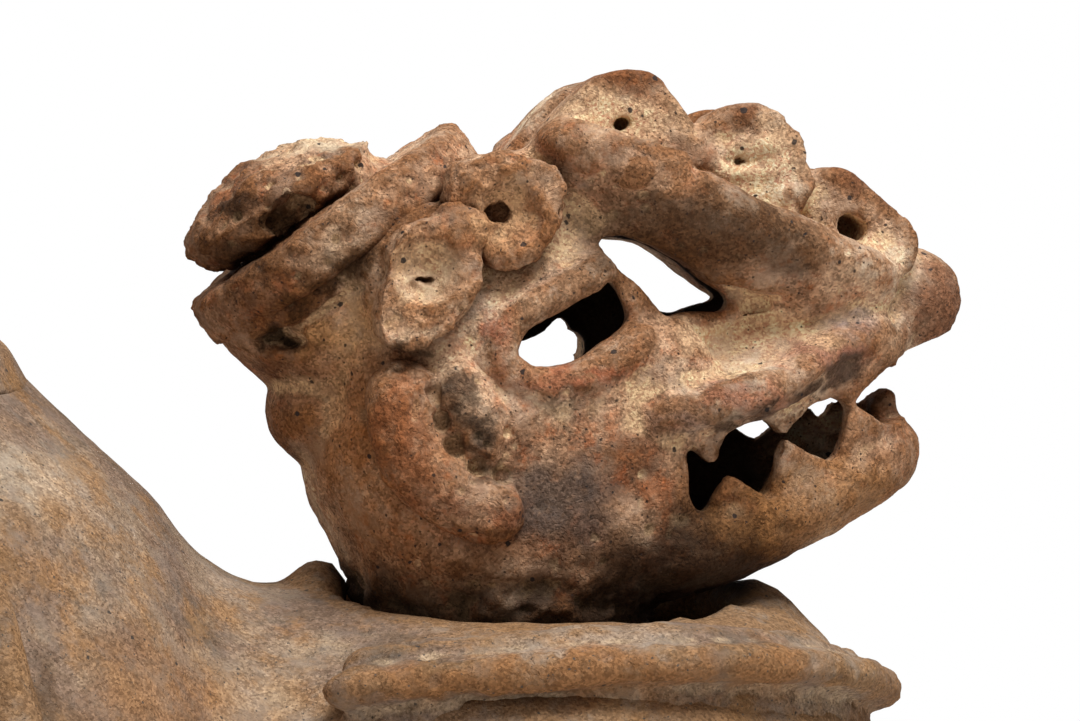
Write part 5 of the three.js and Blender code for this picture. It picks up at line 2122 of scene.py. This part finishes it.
    skin_waves: tuple[Unevenness, ...] = (Unevenness(24, 1.0, 2), Unevenness(6, 0.4, 3))
    joint_waves: tuple[Unevenness, ...] = (
        Unevenness(8, 8, 4, (-7, 0, 0), (66, 66, 17)),
        Unevenness(3.2, 2, 3, (-7, 0, 2), (66, 66, 22)),
    )
    worn_waves: tuple[Unevenness, ...] = (
        Unevenness(7, 2.8, 4, (22, -42, 108), (36, 14, 12)),
        Unevenness(5, 2.0, 4, (48, -24, 108), (56, 10, 20)),
        Unevenness(8, 1.6, 3, (101, -8, 74), (16, 24, 17)),
    )
    dabs: tuple[Dab, ...] = (
        Dab((53, -27, 73), (8, 9, 6), -2.5),
        Dab((91, -14, 79), (3.5, 9, 6), -2.5),
        Dab((88.5, -15, 71), (3.5, 9, 6), -2.5),
    )

    def form(self, grow: float) -> Clay:
        """Gives the head's solid forms, grown or shrunk.

        Args:
            grow: How far.

        Returns:
            Overlapping forms in one lump.
        """
        clay = Clay()
        for rows in (self.skull, self.muzzle, self.jaw, self.gape):
            clay.loft(forward_rings(rows, grow), self.squareness, self.around, self.run_steps)
        rings = []
        for z, x, long, wide in self.neck:
            across, sideways = Vector((long + grow, 0, 0)), Vector((0, wide + grow, 0))
            rings.append(ring_at(Vector((x, 0, z)), across, sideways))
        clay.loft(rings, self.squareness, self.around, self.neck_steps)
        dress = self.headdress
        rings = []
        length, width = dress.brim_half
        for drop, long, wide in self.nape:
            middle = Vector((dress.brim[0], 0, dress.brim[1])) - dress.way() * drop * width
            across = dress.along() * (long * length + grow)
            rings.append(ring_at(middle, across, Vector((0, wide * width + grow, 0))))
        clay.loft(rings, self.squareness, self.around, self.nape_steps)
        return clay.ball(Vector(self.cheek), [half + grow for half in self.cheek_half])

    def roll(
        self,
        points: Sequence[Triple],
        girth: Pair,
        clay: Clay,
        side: Side,
        lean: float = 0.0,
        squareness: float = ROLL_SQUARENESS,
    ) -> None:
        """Adds a roll on one side of the head.

        Args:
            points: Its x, side reach and z.
            girth: Half its width and half its height.
            clay: The lump that takes it.
            side: Which side.
            lean: How far its top leans out, in degrees.
            squareness: 2 for an oval section, more for a boxier one.
        """
        path = [Vector((x, side.value * reach, z)) for x, reach, z in points]
        clay.loft(roll_rings(path, *girth, lean=-lean * side.value), squareness)

    def knives(self) -> list[bpy.types.Mesh]:
        """Gives what is cut out of the head: mouth, eyes, snout windows, pokes, grooves and the neck's bore.

        Returns:
            One cutter for each cut.
        """
        cuts = []
        for side in Side:
            left = side is Side.LEFT
            end = side.value * self.cut_reach
            mouth = self.left_mouth if left else self.right_mouth
            cuts.append(Clay().block(mouth, -side.value * self.mouth_overlap, end).worked())
            for outline in (self.left_eye, self.left_window) if left else (self.eye, self.window):
                window = Clay().block(rounded(outline), side.value * self.window_start, end)
                cuts.append(window.worked())
            for poke in self.pokes:
                clay = Clay()
                poke.press_on(clay, side)
                cuts.append(modelled(clay.worked(), POKE_WAVES))
            for path, half in ((self.gum, self.gum_half), (self.brim_joint, self.brim_joint_half)):
                clay = Clay()
                self.roll(path, half, clay, side)
                cuts.append(clay.worked())
        cuts.append(Clay().ball(Vector(self.bore), self.bore_half).worked())
        return cuts

    def build_shell(self, finish: bpy.types.Material) -> None:
        """Builds the hollow head with its openings, ridges, lips, crest lugs, nose and teeth.

        Args:
            finish: Its material.
        """
        clay = self.form(0)
        for side in Side:
            girth = (self.brow_wide, self.brow_tall)
            self.roll(self.brow, girth, clay, side, self.brow_lean, self.brow_squareness)
            self.roll(self.lid, (self.lid_radius, self.lid_radius), clay, side)
            self.roll(self.lip, (self.lip_wide, self.lip_tall), clay, side)
            for lobe in (*self.mounds, self.muzzle_root):
                lobe.press_on(clay, side)
            for outline, (inner, outer) in zip(self.crest, self.crest_reach):
                clay.block(rounded(outline), side.value * inner, side.value * outer)
        self.nose.press_on(clay, Side.RIGHT)
        self.knob.press_on(clay, Side.RIGHT)
        outside = self.outer_work.knead(clay)
        hollow = self.lining_work.knead(self.form(-self.wall))
        lining = BVHTree.FromPolygons([v.co for v in hollow.vertices], [f.vertices for f in hollow.polygons])
        shell = carved(outside, hollow)
        for knife in self.knives():
            shell = carved(shell, knife)
        mesh = self.cut_work.knead(Clay().lump(shell))
        # Painted shade on the inner wall: full near the lining, fading away from it and towards the front of
        # the mouth
        near = [lining.find_nearest(vert.co)[3] for vert in mesh.vertices]
        ahead = [vert.co.x for vert in mesh.vertices]
        inner_shade = np.clip(self.soot_fade - np.array(near), 0, 1)
        inner_shade *= np.interp(ahead, self.soot_front, (self.inner_shade, self.soot_least))
        mesh.attributes.new("inner_shade", "FLOAT", "POINT").data.foreach_set("value", inner_shade)
        waves = (*self.skin_waves, *self.joint_waves, *self.worn_waves)
        modelled(mesh, waves, self.dabs, self.cut_work.pits)
        sides = [side.label for side in Side]
        nodes = ["face_mask", "neck_and_jaw", "nose_roll", "nape_knob"]
        crest = [f"crest_lug_{place}" for place in ("back", "middle", "front")]
        nodes += [f"{name}_{s}" for name in ("brow_ridge", "eye_lid", "upper_lip", *crest) for s in sides]
        nodes += [f"{row}_tooth_{i}_{s}" for row in ("lower", "upper") for i in (1, 2, 3) for s in sides]
        as_piece(mesh, "head_shell", Carrier.HEAD, nodes, finish)

    def build_cheek(self, side: Side, finish: bpy.types.Material) -> None:
        """Builds the roll that frames one cheek, with the pad inside it.

        Args:
            side: Which side.
            finish: Its material.
        """
        clay = Clay()
        self.roll(self.cheek_roll, (self.cheek_roll_wide, self.cheek_roll_tall), clay, side)
        for pad in self.cheek_pads:
            pad.press_on(clay, side)
        cracks = []
        for (x, reach, z), size in self.cheek_cracks:
            cracks.append(Dab((x, side.value * reach, z), size, -self.cheek_crack_depth))
        mesh = self.cheek_work.wear(self.cheek_work.knead(clay), cracks)
        as_piece(mesh, f"cheek_band_{side.label}", Carrier.HEAD, [f"cheek_roll_{side.label}"], finish)

    def build(self) -> None:
        """Builds and dresses every piece of the head."""
        finish = HEAD_CLAY.build()
        self.build_shell(finish)
        self.headdress.build(finish)
        for side in Side:
            self.build_cheek(side, finish)
            for pad in self.ruff:
                pad.build(side, finish)


def main() -> None:
    """Builds the studio, the urn and the head."""
    logging.basicConfig(level=logging.INFO, format="%(name)s %(message)s")
    Studio().build()
    UrnBody().build()
    AnimalHead().build()


if __name__ == "__main__":
    main()
